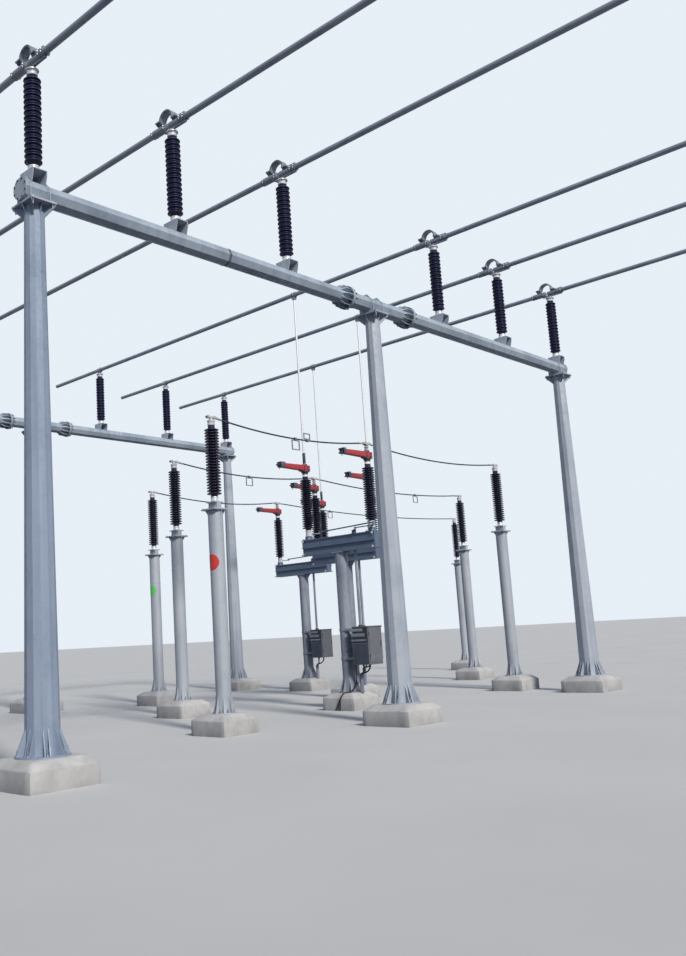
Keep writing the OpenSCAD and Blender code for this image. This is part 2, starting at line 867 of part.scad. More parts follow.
module earthing_loops() {
    face = clamp_bar_l / 2;
    color(bright_metal) {
        translate([0, row_y[0], 0]) {
            earthing_loop(left_post_x[0] + face, pole_x[0] - face, left_sag, 0.5);
            earthing_loop(left_post_x[0] + face, pole_x[0] - face, left_sag, 0.58, true);
        }
        translate([0, row_y[1], 0]) {
            earthing_loop(left_post_x[1] + face, pole_x[1] - face, left_sag, 0.5);
            earthing_loop(pole_x[1] + face, right_post_x[1] - face, right_sag, 0.66);
        }
        translate([0, row_y[2], 0])
            earthing_loop(pole_x[2] + face, right_post_x[2] - face, right_sag, 0.25);
    }
}

// Droppers from the busbars to the insulators that the feeders leave free
dropper_side = -feeder_side;
dropper_block_h = 60;
dropper_top_z = busbar_z - busbar_d / 2 - dropper_block_h;

module at_droppers() {
    for (i = [0:2])
        translate([pole_x[i], pole_y[i] + dropper_side[i] * pole_spacing / 2, 0]) children();
}

module droppers() {
    color(aluminium)
        at_droppers()
            translate([0, 0, terminal_top_z]) cylinder(h = dropper_top_z - terminal_top_z, d = dropper_d);
}

// T-clamp: a sleeve round the busbar and a block down to the dropper
module dropper_clamps() {
    color(aluminium)
        at_droppers()
            difference() {
                union() {
                    clamp_ring(-60, 60, busbar_d + 30);
                    translate([-38, -45, dropper_top_z]) cube([76, 90, busbar_z - dropper_top_z]);
                    translate([-90, -45, busbar_z - 10]) cube([180, 90, 20]);
                }
                clamp_ring(-200, 200, busbar_d + 2 * clamp_gap);
            }
}

// Disconnectors

module pole_column() {
    foot_plate_t = 16;
    foot_r = 240;
    gusset_t = 12;
    head_w = pole_column_d + 20;
    r = pole_column_d / 2;
    cylinder(h = pole_column_h - 10, d = pole_column_d);
    cylinder(h = foot_plate_t, r = foot_r + 10);
    for (a = [0:45:315]) {
        rotate([0, 0, a]) gusset(foot_r, r - 12, 320, gusset_t);
    }
    translate([-head_w / 2, -head_w / 2, pole_column_h - 20]) cube([head_w, head_w, 20]);
    for (a = [45:90:315])
        rotate([0, 0, a])
            translate([0, 0, pole_column_h - 10]) mirror([0, 0, 1]) gusset(r + 45, r - 8, 120, gusset_t);
}

module disconnector_columns() {
    color(steel) at_poles() translate([0, 0, block_h]) pole_column();
}

// Base beam: a channelled upper part over a recessed lower one, bored for the drive shaft
module base_beam() {
    flange_h = 190;
    recess = 38;
    l = base_beam_l;
    w = base_beam_w;
    lower_h = base_beam_h - flange_h;
    difference() {
        union() {
            translate([-w / 2, -l / 2, base_beam_z + lower_h]) cube([w, l, flange_h]);
            translate([recess - w / 2, -l / 2, base_beam_z]) cube([w - 2 * recess, l, lower_h]);
            translate([-w / 2 - 10, -l / 2 - 10, base_beam_z]) cube([w + 20, l + 20, 18]);
        }
        for (side = [-1, 1])
            translate([side * w / 2 - 24, -l, base_beam_z + lower_h + 22])
                cube([48, 2 * l, flange_h - 44]);
        translate([0, -drive_offset, pole_top_z - 1])
            cylinder(h = base_top_z - pole_top_z + 2, d = shaft_d + 12);
    }
}

module disconnector_beams() {
    color(dark_steel) at_poles() base_beam();
}

// Bearing housings under the turning insulators and round the head of the drive shaft
module disconnector_bearings() {
    bush_d = shaft_d + 40;
    bush_h = drive_crank_z - turn_gap - base_top_z;
    color(dark_steel) {
        at_pole_insulators()
            translate([0, 0, base_top_z])
                difference() {
                    union() {
                        cylinder(h = bearing_h, d = bearing_d);
                        translate([-115, -100, 0]) cube([230, 200, 16]);
                    }
                    translate([0, 0, 20]) cylinder(h = bearing_h, d = spindle_d + 2 * pin_gap);
                }
        at_poles()
            translate([0, -drive_offset, base_top_z])
                difference() {
                    union() {
                        cylinder(h = bush_h, d = bush_d);
                        translate([-75, -60, 0]) cube([150, 120, 12]);
                    }
                    translate([0, 0, -1]) cylinder(h = bush_h + 2, d = shaft_d + 2 * pin_gap);
                }
    }
}

// Drive cabinet on rails strapped to the column, with a rain hood and a shaft gland
module drive_cabinet() {
    back_y = -cabinet_back;
    rail_h = 60;
    rail_w = 50;
    rail_x = pole_column_d / 2 - 20;
    strap_d = pole_column_d + 20;
    z0 = block_h + cabinet_z;
    difference() {
        union() {
            translate([-cabinet_w / 2, back_y - cabinet_d, z0]) cube([cabinet_w, cabinet_d, cabinet_h]);
            translate([-cabinet_w / 2 - 15, back_y - cabinet_d - 20, z0 + cabinet_h - 24])
                cube([cabinet_w + 30, cabinet_d + 20, 24]);
            for (z = [z0 + 100, z0 + cabinet_h - 90]) {
                for (side = [-1, 1])
                    translate([side * rail_x - rail_w / 2, back_y - 10, z])
                        cube([rail_w, cabinet_back + 10, rail_h]);
                translate([0, 0, z]) cylinder(h = rail_h, d = strap_d);
            }
            translate([0, -drive_offset, z0 + cabinet_h - 10]) cylinder(h = 40, d = shaft_d + 44);
        }
        translate([0, 0, z0 - 1]) cylinder(h = cabinet_h + 2, d = pole_column_d + 2 * clamp_gap);
        translate([0, -drive_offset, z0 + cabinet_h]) cylinder(h = 100, d = shaft_d + 2 * pin_gap);
    }
}

module drive_cabinets() {
    color(cabinet_grey) at_poles() drive_cabinet();
}

// Fixed terminals over the arms' axes, each with a pivot pin down into its arm
pivot_pin_d = 40;
pivot_pin_l = 30;

module terminals() {
    color(aluminium) {
        at_pole_insulators() {
            translate([0, 0, terminal_z - turn_gap - pivot_pin_l])
                cylinder(h = pivot_pin_l + turn_gap + 1, d = pivot_pin_d);
            translate([0, 0, terminal_z]) cylinder(h = 20, d = 130);
            translate([0, 0, terminal_z]) cylinder(h = terminal_top_z - terminal_z, d = 64);
        }
        for (i = [0:2]) translate([pole_x[i], row_y[i], 0]) clamp_bar();
    }
}

// Turning pieces, each drawn about its own insulator's axis

// Flat lever from the axis to a pin hole at crank_r, at angle a
module crank(z, a) {
    rotate([0, 0, a])
        translate([0, 0, z])
            difference() {
                union() {
                    translate([0, -crank_w / 2, 0]) cube([crank_r, crank_w, crank_t]);
                    translate([crank_r, 0, 0]) cylinder(h = crank_t, d = crank_w);
                }
                translate([crank_r, 0, -1]) cylinder(h = crank_t + 2, d = crank_pin_d + 2 * pin_gap);
            }
}

// Porcelain with its two metal caps, the spindle under it and the crank on its foot
module turning_insulator(crank_angle) {
    foot_cap_d = 140;
    color(porcelain)
        translate([0, 0, turning_core_z])
            porcelain_body(turning_core_h, turning_shed_count, post_shed_d, post_shed_d);
    color(bright_metal) {
        translate([0, 0, base_top_z + 20 + spindle_gap])
            cylinder(h = turning_z - base_top_z - 20, d = spindle_d);
        translate([0, 0, turning_z]) cylinder(h = foot_cap_h, d = foot_cap_d);
        crank(near_crank_z, crank_angle);
        translate([0, 0, turning_head_z]) cylinder(h = head_cap_h, d = foot_cap_d);
        translate([0, 0, arm_z - 40]) cylinder(h = 40, d = 180);
    }
}

// Red arm that points left in the open position, with a contact block and, on its end,
// either a fork or a blade that lies in the other arm's fork when the pole is closed
module arm(forked) {
    box_end = arm_reach - contact_l;
    mid_z = arm_z + arm_h / 2;
    finger_t = 28;
    finger_w = 80;
    blade_t = 32;
    finger_gap = 10;
    nose_l = 60;
    difference() {
        translate([0, arm_w / 2, 0])
            rotate([90, 0, 0])
                linear_extrude(arm_w)
                    polygon([
                        [arm_tail, arm_z], [arm_tail, arm_top_z], [-120, arm_top_z],
                        [-box_end, arm_top_z - 14], [-box_end, arm_z + 14], [-120, arm_z]
                    ]);
        translate([0, 0, arm_top_z - pivot_pin_l - pin_gap])
            cylinder(h = pivot_pin_l + 10, d = pivot_pin_d + 2 * pin_gap);
    }
    translate([nose_l - arm_reach, -finger_w / 2, arm_z + 10])
        cube([contact_l - nose_l + 10, finger_w, arm_h - 20]);
    if (forked)
        for (z = [mid_z - blade_t / 2 - finger_gap - finger_t, mid_z + blade_t / 2 + finger_gap])
            translate([-arm_reach, -finger_w / 2, z]) cube([nose_l + 10, finger_w, finger_t]);
    else
        translate([-arm_reach, -finger_w / 2, mid_z - blade_t / 2]) cube([nose_l + 10, finger_w, blade_t]);
}

// The long rod that joins both insulators and the short link from the drive crank, on one
// pin through the near crank. The long rod's far eye lies free over the far crank.
module drive_rods() {
    near_pin = crank_r * [cos(crank_turn), sin(crank_turn)];
    far_pin = [-near_pin[0], near_pin[1] + pole_spacing];
    drive_pin = [near_pin[0], near_pin[1] + pole_spacing / 2 - drive_offset];
    run = far_pin - near_pin;
    color(dark_steel) {
        translate([near_pin[0], near_pin[1], link_rod_z - link_rod_d / 2])
            cylinder(h = sync_rod_z + sync_rod_d / 2 - link_rod_z + link_rod_d / 2, d = crank_pin_d);
        translate([near_pin[0], near_pin[1], sync_rod_z]) rod(norm(run), atan2(run[1], run[0]), sync_rod_d);
        translate([near_pin[0], near_pin[1], link_rod_z]) rod(drive_pin[1] - near_pin[1], 90, link_rod_d);
        translate([drive_pin[0], drive_pin[1], drive_crank_z])
            cylinder(h = link_rod_z - drive_crank_z, d = crank_pin_d);
    }
}

// Horizontal rod of length l at angle a, with a round eye at each end
module rod(l, a, d) {
    rotate([0, 0, a]) {
        rotate([0, 90, 0]) cylinder(h = l, d = d - 6);
        for (x = [0, l]) translate([x, 0, -d / 2]) cylinder(h = d, d = d + 16);
    }
}

// Vertical shaft from the cabinet's gland to its crank above the base beam
module drive_shaft() {
    z0 = block_h + cabinet_z + cabinet_h + spindle_gap;
    color(steel) {
        translate([0, 0, z0]) cylinder(h = drive_crank_z + crank_t - z0, d = shaft_d);
        translate([0, 0, drive_crank_z]) cylinder(h = crank_t, d = shaft_d + 40);
        crank(drive_crank_z, crank_turn);
    }
}

// Stands its children at one insulator's axis: pole i, side -1 for near and 1 for far
module at_insulator(i, side) {
    place() translate([pole_x[i], pole_y[i] + side * pole_spacing / 2, 0]) children();
}

module near_insulator(i) {
    at_insulator(i, -1) turning_insulator(crank_turn);
}

module far_insulator(i) {
    at_insulator(i, 1) turning_insulator(180 - crank_turn);
}

module near_arm(i) {
    color(arm_red) at_insulator(i, -1) arm(true);
}

module far_arm(i) {
    color(arm_red) at_insulator(i, 1) arm(false);
}

module pole_rods(i) {
    at_insulator(i, -1) drive_rods();
}

module pole_shaft(i) {
    place() translate([pole_x[i], pole_y[i] - drive_offset, 0]) drive_shaft();
}

place() portal_foundations();
place() post_foundations();
place() disconnector_foundations();
place() front_columns();
place() rear_columns();
place() front_beam_left();
place() front_beam_middle();
place() front_beam_right();
place() rear_beam_left();
place() rear_beam_middle();
place() rear_beam_right();
place() beam_saddles();
place() insulator_pedestals();
place() portal_insulators();
place() portal_insulator_caps();
place() expansion_clamps();
place() expansion_loops();
place() busbar_clamps();
place() busbars_near();
place() busbars_main();
place() post_columns();
place() post_heads();
place() post_insulators();
place() post_insulator_caps();
place() post_clamps();
place() phase_discs();
place() conductors();
place() earthing_loops();
place() droppers();
place() dropper_clamps();
place() disconnector_columns();
place() disconnector_beams();
place() disconnector_bearings();
place() drive_cabinets();
place() terminals();
near_insulator(0);  // pole_1_near_insulator
near_arm(0);  // pole_1_near_arm
far_insulator(0);  // pole_1_far_insulator
far_arm(0);  // pole_1_far_arm
pole_rods(0);  // pole_1_drive_rods
pole_shaft(0);  // pole_1_drive_shaft
near_insulator(1);  // pole_2_near_insulator
near_arm(1);  // pole_2_near_arm
far_insulator(1);  // pole_2_far_insulator
far_arm(1);  // pole_2_far_arm
pole_rods(1);  // pole_2_drive_rods
pole_shaft(1);  // pole_2_drive_shaft
near_insulator(2);  // pole_3_near_insulator
near_arm(2);  // pole_3_near_arm
far_insulator(2);  // pole_3_far_insulator
far_arm(2);  // pole_3_far_arm
pole_rods(2);  // pole_3_drive_rods
pole_shaft(2);  // pole_3_drive_shaft
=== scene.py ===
import bpy
import numpy as np
from mathutils import Matrix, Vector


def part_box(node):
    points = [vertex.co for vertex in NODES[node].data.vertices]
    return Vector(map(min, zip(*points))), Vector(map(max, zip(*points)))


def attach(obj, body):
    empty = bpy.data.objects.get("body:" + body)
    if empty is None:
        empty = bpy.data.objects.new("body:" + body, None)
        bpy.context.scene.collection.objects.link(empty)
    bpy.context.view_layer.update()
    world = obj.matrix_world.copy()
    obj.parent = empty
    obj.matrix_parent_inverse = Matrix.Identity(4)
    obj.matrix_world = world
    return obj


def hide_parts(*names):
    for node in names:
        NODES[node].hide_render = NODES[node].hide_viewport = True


# Substation switchgear bay. Metres, Z up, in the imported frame. The site axes used below start at
# the front left column: X along the portal beams, Y along the busbars away from the camera.

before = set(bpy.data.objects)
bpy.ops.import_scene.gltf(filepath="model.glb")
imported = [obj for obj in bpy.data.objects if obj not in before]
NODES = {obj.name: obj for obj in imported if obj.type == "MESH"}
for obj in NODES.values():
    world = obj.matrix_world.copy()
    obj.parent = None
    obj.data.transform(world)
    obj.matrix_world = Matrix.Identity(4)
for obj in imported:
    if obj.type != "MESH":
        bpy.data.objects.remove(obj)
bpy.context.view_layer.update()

# Layout, as in the construction

PHASE_SPACING = 2.5
CIRCUIT_GAP = 4.6
DRIVE_OFFSET = 0.40
CABINET_BACK = 0.34
CABINET_W = 0.46
CABINET_D = 0.42
FOOT_PLATE_W = 0.68
FOOT_PAIRS = 8
SPLICE_LEFT = 0.75
SPLICE_RIGHT = 1.10
BEAM_OVERHANG = 0.205
END_PLATE_T = 0.012
FLANGE_T = 0.025
CAP_PLATE_W = 0.49
CAP_PLATE_T = 0.025
STRAP_PITCH = 0.30
BLOCK_H = 0.35
BLOCK_FALL = 0.08
BLOCK_BORDER = 0.13
PORTAL_BLOCK_W = 1.02
POST_BLOCK_W = 0.86
POLE_BLOCK_W = 0.88
CORE_R = 0.064
SHED_R = 0.121
SMALL_SHED_R = 0.106
POST_SHED_R = 0.133
PORTAL_VALLEY_R = 0.091
PORTAL_SHEDS = 31
POST_SHEDS = 23
TURNING_SHEDS = 23
CAP_H = 0.092
CONDUCTOR_R = 0.016
SAG = 0.15
CLAMP_BAR_L = 0.21
CLAMP_BAR_W = 0.07
CLAMP_BAR_H = 0.044
POST_R = 0.1365
POLE_R = 0.14
HEAD_PLATE_W = 0.36
DISC_R = 0.1425
DISC_Z = 2.62
ARM_REACH = 0.92
ARM_TAIL = 0.13
ARM_W = 0.11
ARM_H = 0.13
CONTACT_L = 0.20
NEAR_TIP_L = 0.14
NOSE_L = 0.06
CRANK_R = 0.25
FOOT_CAP_H = 0.14
HEAD_CAP_H = 0.145
BEARING_H = 0.08
TURN_GAP = 0.005
PORTAL_FOOT_T = 0.020
POST_FOOT_T = 0.016
PORTAL_ANCHOR_R = 0.300
POST_ANCHOR_R = 0.182
POLE_ANCHOR_R = 0.202
SPLICE_BOLT_R = 0.186
END_BOLT_R = 0.134
CAP_BOLT_R = 0.084
CAP_FLANGE_T = 0.019
WELD_X = (0.44, 10.95, 14.26)
JOINT_X = 3.52
CLAMP_BOLT_X = 0.066
JAW_BOLT_Y = (-0.315, -0.235, 0.135, 0.41)
REAR_BOLT_Y = (-0.04, 0.04)
DROP_BOLT_X = 0.075
DROP_BOLT_Y = (-0.025, 0.025)
CABINET_Z = 0.58
CABINET_H = 0.80
CONDUIT_Y = -0.33
CONTACT_LAP = 0.02
CRANK_DROP = 0.095
BAND_Z = 2.81
BAND_H = 0.036
LUG_R = 0.022
LUG_L = 0.046
# Strip across X over which the painted shade on the first column fades out
PAINTED_SHADE_X = (0.7, 1.2)
INSULATOR_SIDES = 36
SIGNS = [(sx, sy) for sx in (-1, 1) for sy in (-1, 1)]
UP = (0, 0, 1)
DOWN = (0, 0, -1)


def low(node):
    """Lowest corner of a node's box."""
    return np.array(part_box(node)[0])


def high(node):
    """Highest corner of a node's box."""
    return np.array(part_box(node)[1])


def middle(node):
    """Middle of a node's box."""
    return (low(node) + high(node)) / 2


SITE = np.array([low("front_columns")[0] + FOOT_PLATE_W / 2, middle("front_columns")[1], 0.0])
PORTAL_DEPTH = middle("rear_columns")[1] - SITE[1]
BUS_X = np.array([0, 1, 2, 2, 3, 4]) * PHASE_SPACING + np.array([0, 0, 0, 1, 1, 1]) * CIRCUIT_GAP
COLUMN_X = np.array([0, BUS_X[5] / 2, BUS_X[5]])
PORTAL_Y = np.array([0, PORTAL_DEPTH])
COLUMN_TOP = high("front_columns")[2]
BEAM_Z = middle("front_beam_left")[2]
PEDESTAL_TOP = high("insulator_pedestals")[2]
BUSBAR_Z = middle("busbars_main")[2]
POST_TOP = high("post_columns")[2]
CONDUCTOR_Z = high("terminals")[2] - CLAMP_BAR_H / 2
BASE_TOP = high("disconnector_beams")[2]
FOOT_Z = BASE_TOP + BEARING_H + TURN_GAP
CORE_Z = FOOT_Z + FOOT_CAP_H
ARM_Z = low("pole_1_near_arm")[2]
HEAD_Z = ARM_Z - HEAD_CAP_H


def arm_axis(pole, side):
    """Vertical axis of an arm, in site metres."""
    node = f"pole_{pole}_{side}_arm"
    return np.array([high(node)[0] - ARM_TAIL, middle(node)[1], 0.0]) - SITE


NEAR_AXES = np.array([arm_axis(pole, "near") for pole in (1, 2, 3)])
FAR_AXES = np.array([arm_axis(pole, "far") for pole in (1, 2, 3)])
POLE_AXES = (NEAR_AXES + FAR_AXES) / 2
ROW_Y = np.array([NEAR_AXES[0, 1], FAR_AXES[1, 1], FAR_AXES[2, 1]])
LEFT_SPANS = np.array([4.57, 4.81, 4.93])
RIGHT_SPANS = np.array([5.30, 6.90, 9.80])
LEFT_POSTS = np.stack([POLE_AXES[:, 0] - LEFT_SPANS, ROW_Y, 0 * ROW_Y], 1)
RIGHT_POSTS = np.stack([POLE_AXES[:, 0] + RIGHT_SPANS, ROW_Y, 0 * ROW_Y], 1)
POSTS = np.concatenate([LEFT_POSTS, RIGHT_POSTS])
PORTAL_COLUMNS = np.array([[x, y, 0.0] for y in PORTAL_Y for x in COLUMN_X])
ARM_MID = ARM_Z + ARM_H / 2
NOSE_X = NOSE_L - ARM_REACH


def on_portals(x):
    """The point at x on each portal's line."""
    return np.array([[x, y, 0.0] for y in PORTAL_Y])


# Camera: the photograph's eye point and view, worked out from its vanishing points

EYE = (-6.572, -10.212, 1.658)
YAW = np.radians(45.50)
PITCH = np.radians(9.41)
ROLL = np.radians(-3.03)
FOCAL_PX = 949.1
CENTRE_PX = 250.0
IMAGE_W = 686
IMAGE_H = 956
SENSOR = 36.0
CLIP_END = 400.0


def photo_camera():
    """Camera at the eye point. Its axes are the view direction turned by yaw and pitch, and the
    side and up directions turned about it by the roll."""
    ahead = np.array([np.sin(YAW) * np.cos(PITCH), np.cos(YAW) * np.cos(PITCH), np.sin(PITCH)])
    level = np.array([np.cos(YAW), -np.sin(YAW), 0.0])
    upright = np.cross(level, ahead)
    side = np.cos(ROLL) * level + np.sin(ROLL) * upright
    up = np.cos(ROLL) * upright - np.sin(ROLL) * level
    data = bpy.data.cameras.new("photo_camera")
    data.sensor_fit = "AUTO"
    data.sensor_width = SENSOR
    data.lens = FOCAL_PX / IMAGE_H * SENSOR
    data.shift_x = (IMAGE_W / 2 - CENTRE_PX) / IMAGE_H
    data.clip_end = CLIP_END
    camera = bpy.data.objects.new("photo_camera", data)
    turn = Matrix(np.stack([side, up, -ahead], 1).tolist()).to_4x4()
    camera.matrix_world = Matrix.Translation((SITE + EYE).tolist()) @ turn
    bpy.context.scene.collection.objects.link(camera)
    bpy.context.scene.camera = camera


photo_camera()


# Surfaces: each shape is (points, list of face arrays), worked out as whole arrays


def ring_faces(rows, cols):
    """Quads between successive closed rings of cols points each, facing away from the axis when
    the rings climb and turn anticlockwise."""
    i, j = np.meshgrid(np.arange(rows - 1), np.arange(cols), indexing="ij")
    k = (j + 1) % cols
    quads = np.stack([i * cols + j, i * cols + k, (i + 1) * cols + k, (i + 1) * cols + j], -1)
    return quads.reshape(-1, 4)


def closed_rings(rings):
    """Rings of points, rows by cols by 3, closed by a fan onto the middle of each end ring."""
    rows, cols = rings.shape[:2]
    points = np.concatenate([rings.reshape(-1, 3), rings[:1].mean(1), rings[-1:].mean(1)])
    j = np.arange(cols)
    k = (j + 1) % cols
    first = rows * cols
    last = first + 1
    base = (rows - 1) * cols
    low_fan = np.stack([k, j, np.full(cols, first)], -1)
    high_fan = np.stack([base + j, base + k, np.full(cols, last)], -1)
    return points, [ring_faces(rows, cols), low_fan, high_fan]


def turned(profile, sides=32):
    """Profile of (radius, height) turned about Z: (r cos a, r sin a, z)."""
    profile = np.asarray(profile, float)
    a = np.arange(sides) * 2 * np.pi / sides
    circle = np.stack([np.cos(a), np.sin(a)], -1)
    flat = profile[:, None, :1] * circle[None]
    height = np.broadcast_to(profile[:, None, 1:], flat.shape[:2] + (1,))
    return closed_rings(np.concatenate([flat, height], -1))


def rounded_rectangle(w, h, r, per_corner=4):
    """Closed outline, anticlockwise: four quarter circles of radius r about the inset corners."""
    a = np.linspace(0, np.pi / 2, per_corner)
    quarter = r * np.stack([np.cos(a), np.sin(a)], -1)
    inset = np.array([w / 2 - r, h / 2 - r])
    corners = []
    for turn, sign in enumerate(((1, 1), (-1, 1), (-1, -1), (1, -1))):
        c, s = np.cos(turn * np.pi / 2), np.sin(turn * np.pi / 2)
        corners.append(quarter @ np.array([[c, s], [-s, c]]) + inset * sign)
    return np.concatenate(corners)


def round_section(r, sides=12):
    """Circle of radius r, anticlockwise."""
    a = np.arange(sides) * 2 * np.pi / sides
    return r * np.stack([np.cos(a), np.sin(a)], -1)


def carried(path, sections, up=(0, 0, 1)):
    """Sections carried along a path: p(t) + x side(t) + y up(t), where side is square to the path
    and to the given up. One section may serve the whole path."""
    path = np.asarray(path, float)
    sections = np.asarray(sections, float)
    if sections.ndim == 2:
        sections = np.broadcast_to(sections, (len(path),) + sections.shape)
    tangent = np.gradient(path, axis=0)
    tangent /= np.linalg.norm(tangent, axis=1, keepdims=True)
    side = np.cross(np.broadcast_to(np.asarray(up, float), tangent.shape), tangent)
    side /= np.linalg.norm(side, axis=1, keepdims=True)
    upward = np.cross(tangent, side)
    rings = path[:, None] + sections[..., :1] * side[:, None] + sections[..., 1:] * upward[:, None]
    return closed_rings(rings)


def bevelled(start, end, full, inset, bevel, up):
    """A full section carried from start to end, narrowed to an inset one over a bevel at each end."""
    start, end = np.asarray(start, float), np.asarray(end, float)
    along = (end - start) / np.linalg.norm(end - start) * bevel
    path = np.stack([start, start + along, end - along, end])
    return carried(path, np.stack([inset, full, full, inset]), up)


def bar(start, end, w, h, r=0.004, bevel=0.003, up=(0, 0, 1)):
    """Straight bar of rounded rectangular section, its end edges bevelled."""
    inset = rounded_rectangle(w - 2 * bevel, h - 2 * bevel, max(r - bevel, r / 4))
    return bevelled(start, end, rounded_rectangle(w, h, r), inset, bevel, up)


def rod(start, end, r, sides=16, bevel=0.002):
    """Straight round rod with bevelled ends."""
    axis = np.subtract(end, start)
    up = (0, 0, 1) if abs(axis[2]) < 0.9 * np.linalg.norm(axis) else (0, 1, 0)
    return bevelled(start, end, round_section(r, sides), round_section(r - bevel, sides), bevel, up)


def joined(shapes):
    """One shape from several, face numbers moved on."""
    points, faces, start = [], [], 0
    for p, fs in shapes:
        points.append(p)
        faces += [f + start for f in fs]
        start += len(p)
    return np.concatenate(points), faces


def moved(shape, offset):
    """The shape moved by an offset."""
    return shape[0] + np.asarray(offset, float), shape[1]


def repeated(faces, count, step):
    """Faces repeated a number of times, each time with their numbers moved on by a step."""
    steps = np.arange(count) * step
    return [(steps[:, None, None] + f[None]).reshape(-1, f.shape[1]) for f in faces]


def copies(shape, places):
    """The shape repeated at every place, all points worked out at once."""
    points, faces = shape
    places = np.asarray(places, float).reshape(-1, 3)
    all_points = (places[:, None] + points[None]).reshape(-1, 3)
    return all_points, repeated(faces, len(places), len(points))


def stamped(shape, places, facing):
    """The shape repeated at every place with its Z axis turned to the facing direction."""
    points, faces = shape
    places = np.asarray(places, float).reshape(-1, 3)
    z = np.broadcast_to(np.asarray(facing, float), places.shape)
    z = z / np.linalg.norm(z, axis=1, keepdims=True)
    steep = np.abs(z[:, 2:]) > 0.9
    reference = np.where(steep, np.array([1.0, 0, 0]), np.array([0, 0, 1.0]))
    x = np.cross(reference, z)
    x /= np.linalg.norm(x, axis=1, keepdims=True)
    y = np.cross(z, x)
    axes = np.stack([x, y, z], 1)
    all_points = (places[:, None] + np.einsum("pk,nkc->npc", points, axes)).reshape(-1, 3)
    return all_points, repeated(faces, len(places), len(points))


def hex_bolt(size, length=0.0):
    """Hexagon head on a round washer, its face up, drawn for a size of 1. A length adds a threaded
    end above the head."""
    shapes = [
        turned([(1.15, 0), (1.15, 0.18), (0.5, 0.18)], 12),
        turned([(0.92, 0.18), (0.92, 0.775), (0.7912, 0.88), (0.2, 0.88)], 6)
    ]
    if length:
        end = length / size
        shapes.append(turned([(0.5, 0.88), (0.5, end - 0.1), (0.4, end)], 10))
    points, faces = joined(shapes)
    return points * size, faces


def add_piece(name, shape, finish, body="bay", stands_for=(), smooth=35):
    """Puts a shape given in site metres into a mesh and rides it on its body."""
    points, faces = shape
    mesh = bpy.data.meshes.new(name)
    mesh.vertices.add(len(points))
    mesh.vertices.foreach_set("co", (points + SITE).astype(np.float32).ravel())
    corners = np.concatenate([f.ravel() for f in faces])
    sizes = np.concatenate([np.full(len(f), f.shape[1]) for f in faces])
    starts = np.concatenate([[0], np.cumsum(sizes)[:-1]])
    mesh.loops.add(len(corners))
    mesh.loops.foreach_set("vertex_index", corners.astype(np.int32))
    mesh.polygons.add(len(sizes))
    mesh.polygons.foreach_set("loop_start", starts.astype(np.int32))
    mesh.polygons.foreach_set("use_smooth", np.ones(len(sizes), bool))
    mesh.update(calc_edges=True)
    mesh.validate()
    mesh.set_sharp_from_angle(angle=np.radians(smooth))
    mesh.materials.append(finish)
    piece = bpy.data.objects.new(name, mesh)
    bpy.context.scene.collection.objects.link(piece)
    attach(piece, body)
    if stands_for:
        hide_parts(*stands_for)
    return piece


# Finishes


class Nodes:
    """Short calls for the nodes of a shader tree."""

    def __init__(self, tree):
        self.nodes = tree.nodes
        self.links = tree.links

    def feed(self, socket, value):
        """Links an output to the socket, or gives it a plain value."""
        if isinstance(value, bpy.types.NodeSocket):
            self.links.new(value, socket)
        else:
            socket.default_value = value

    def fill(self, node, **inputs):
        """Feeds a node's inputs. An underscore in an input's name stands for a space."""
        for name, value in inputs.items():
            self.feed(node.inputs[name.replace("_", " ")], value)
        return node

    def node(self, kind, **inputs):
        """New node with its inputs filled."""
        return self.fill(self.nodes.new("ShaderNode" + kind), **inputs)

    def seen_rays(self):
        """1 for rays from the camera and through glossy or clear surfaces, otherwise 0."""
        path = self.node("LightPath")
        seen = path.outputs["Is Camera Ray"]
        for kind in ("Is Glossy Ray", "Is Transmission Ray"):
            either = self.node("Math")
            either.operation = "MAXIMUM"
            self.links.new(seen, either.inputs[0])
            self.links.new(path.outputs[kind], either.inputs[1])
            seen = either.outputs[0]
        return seen


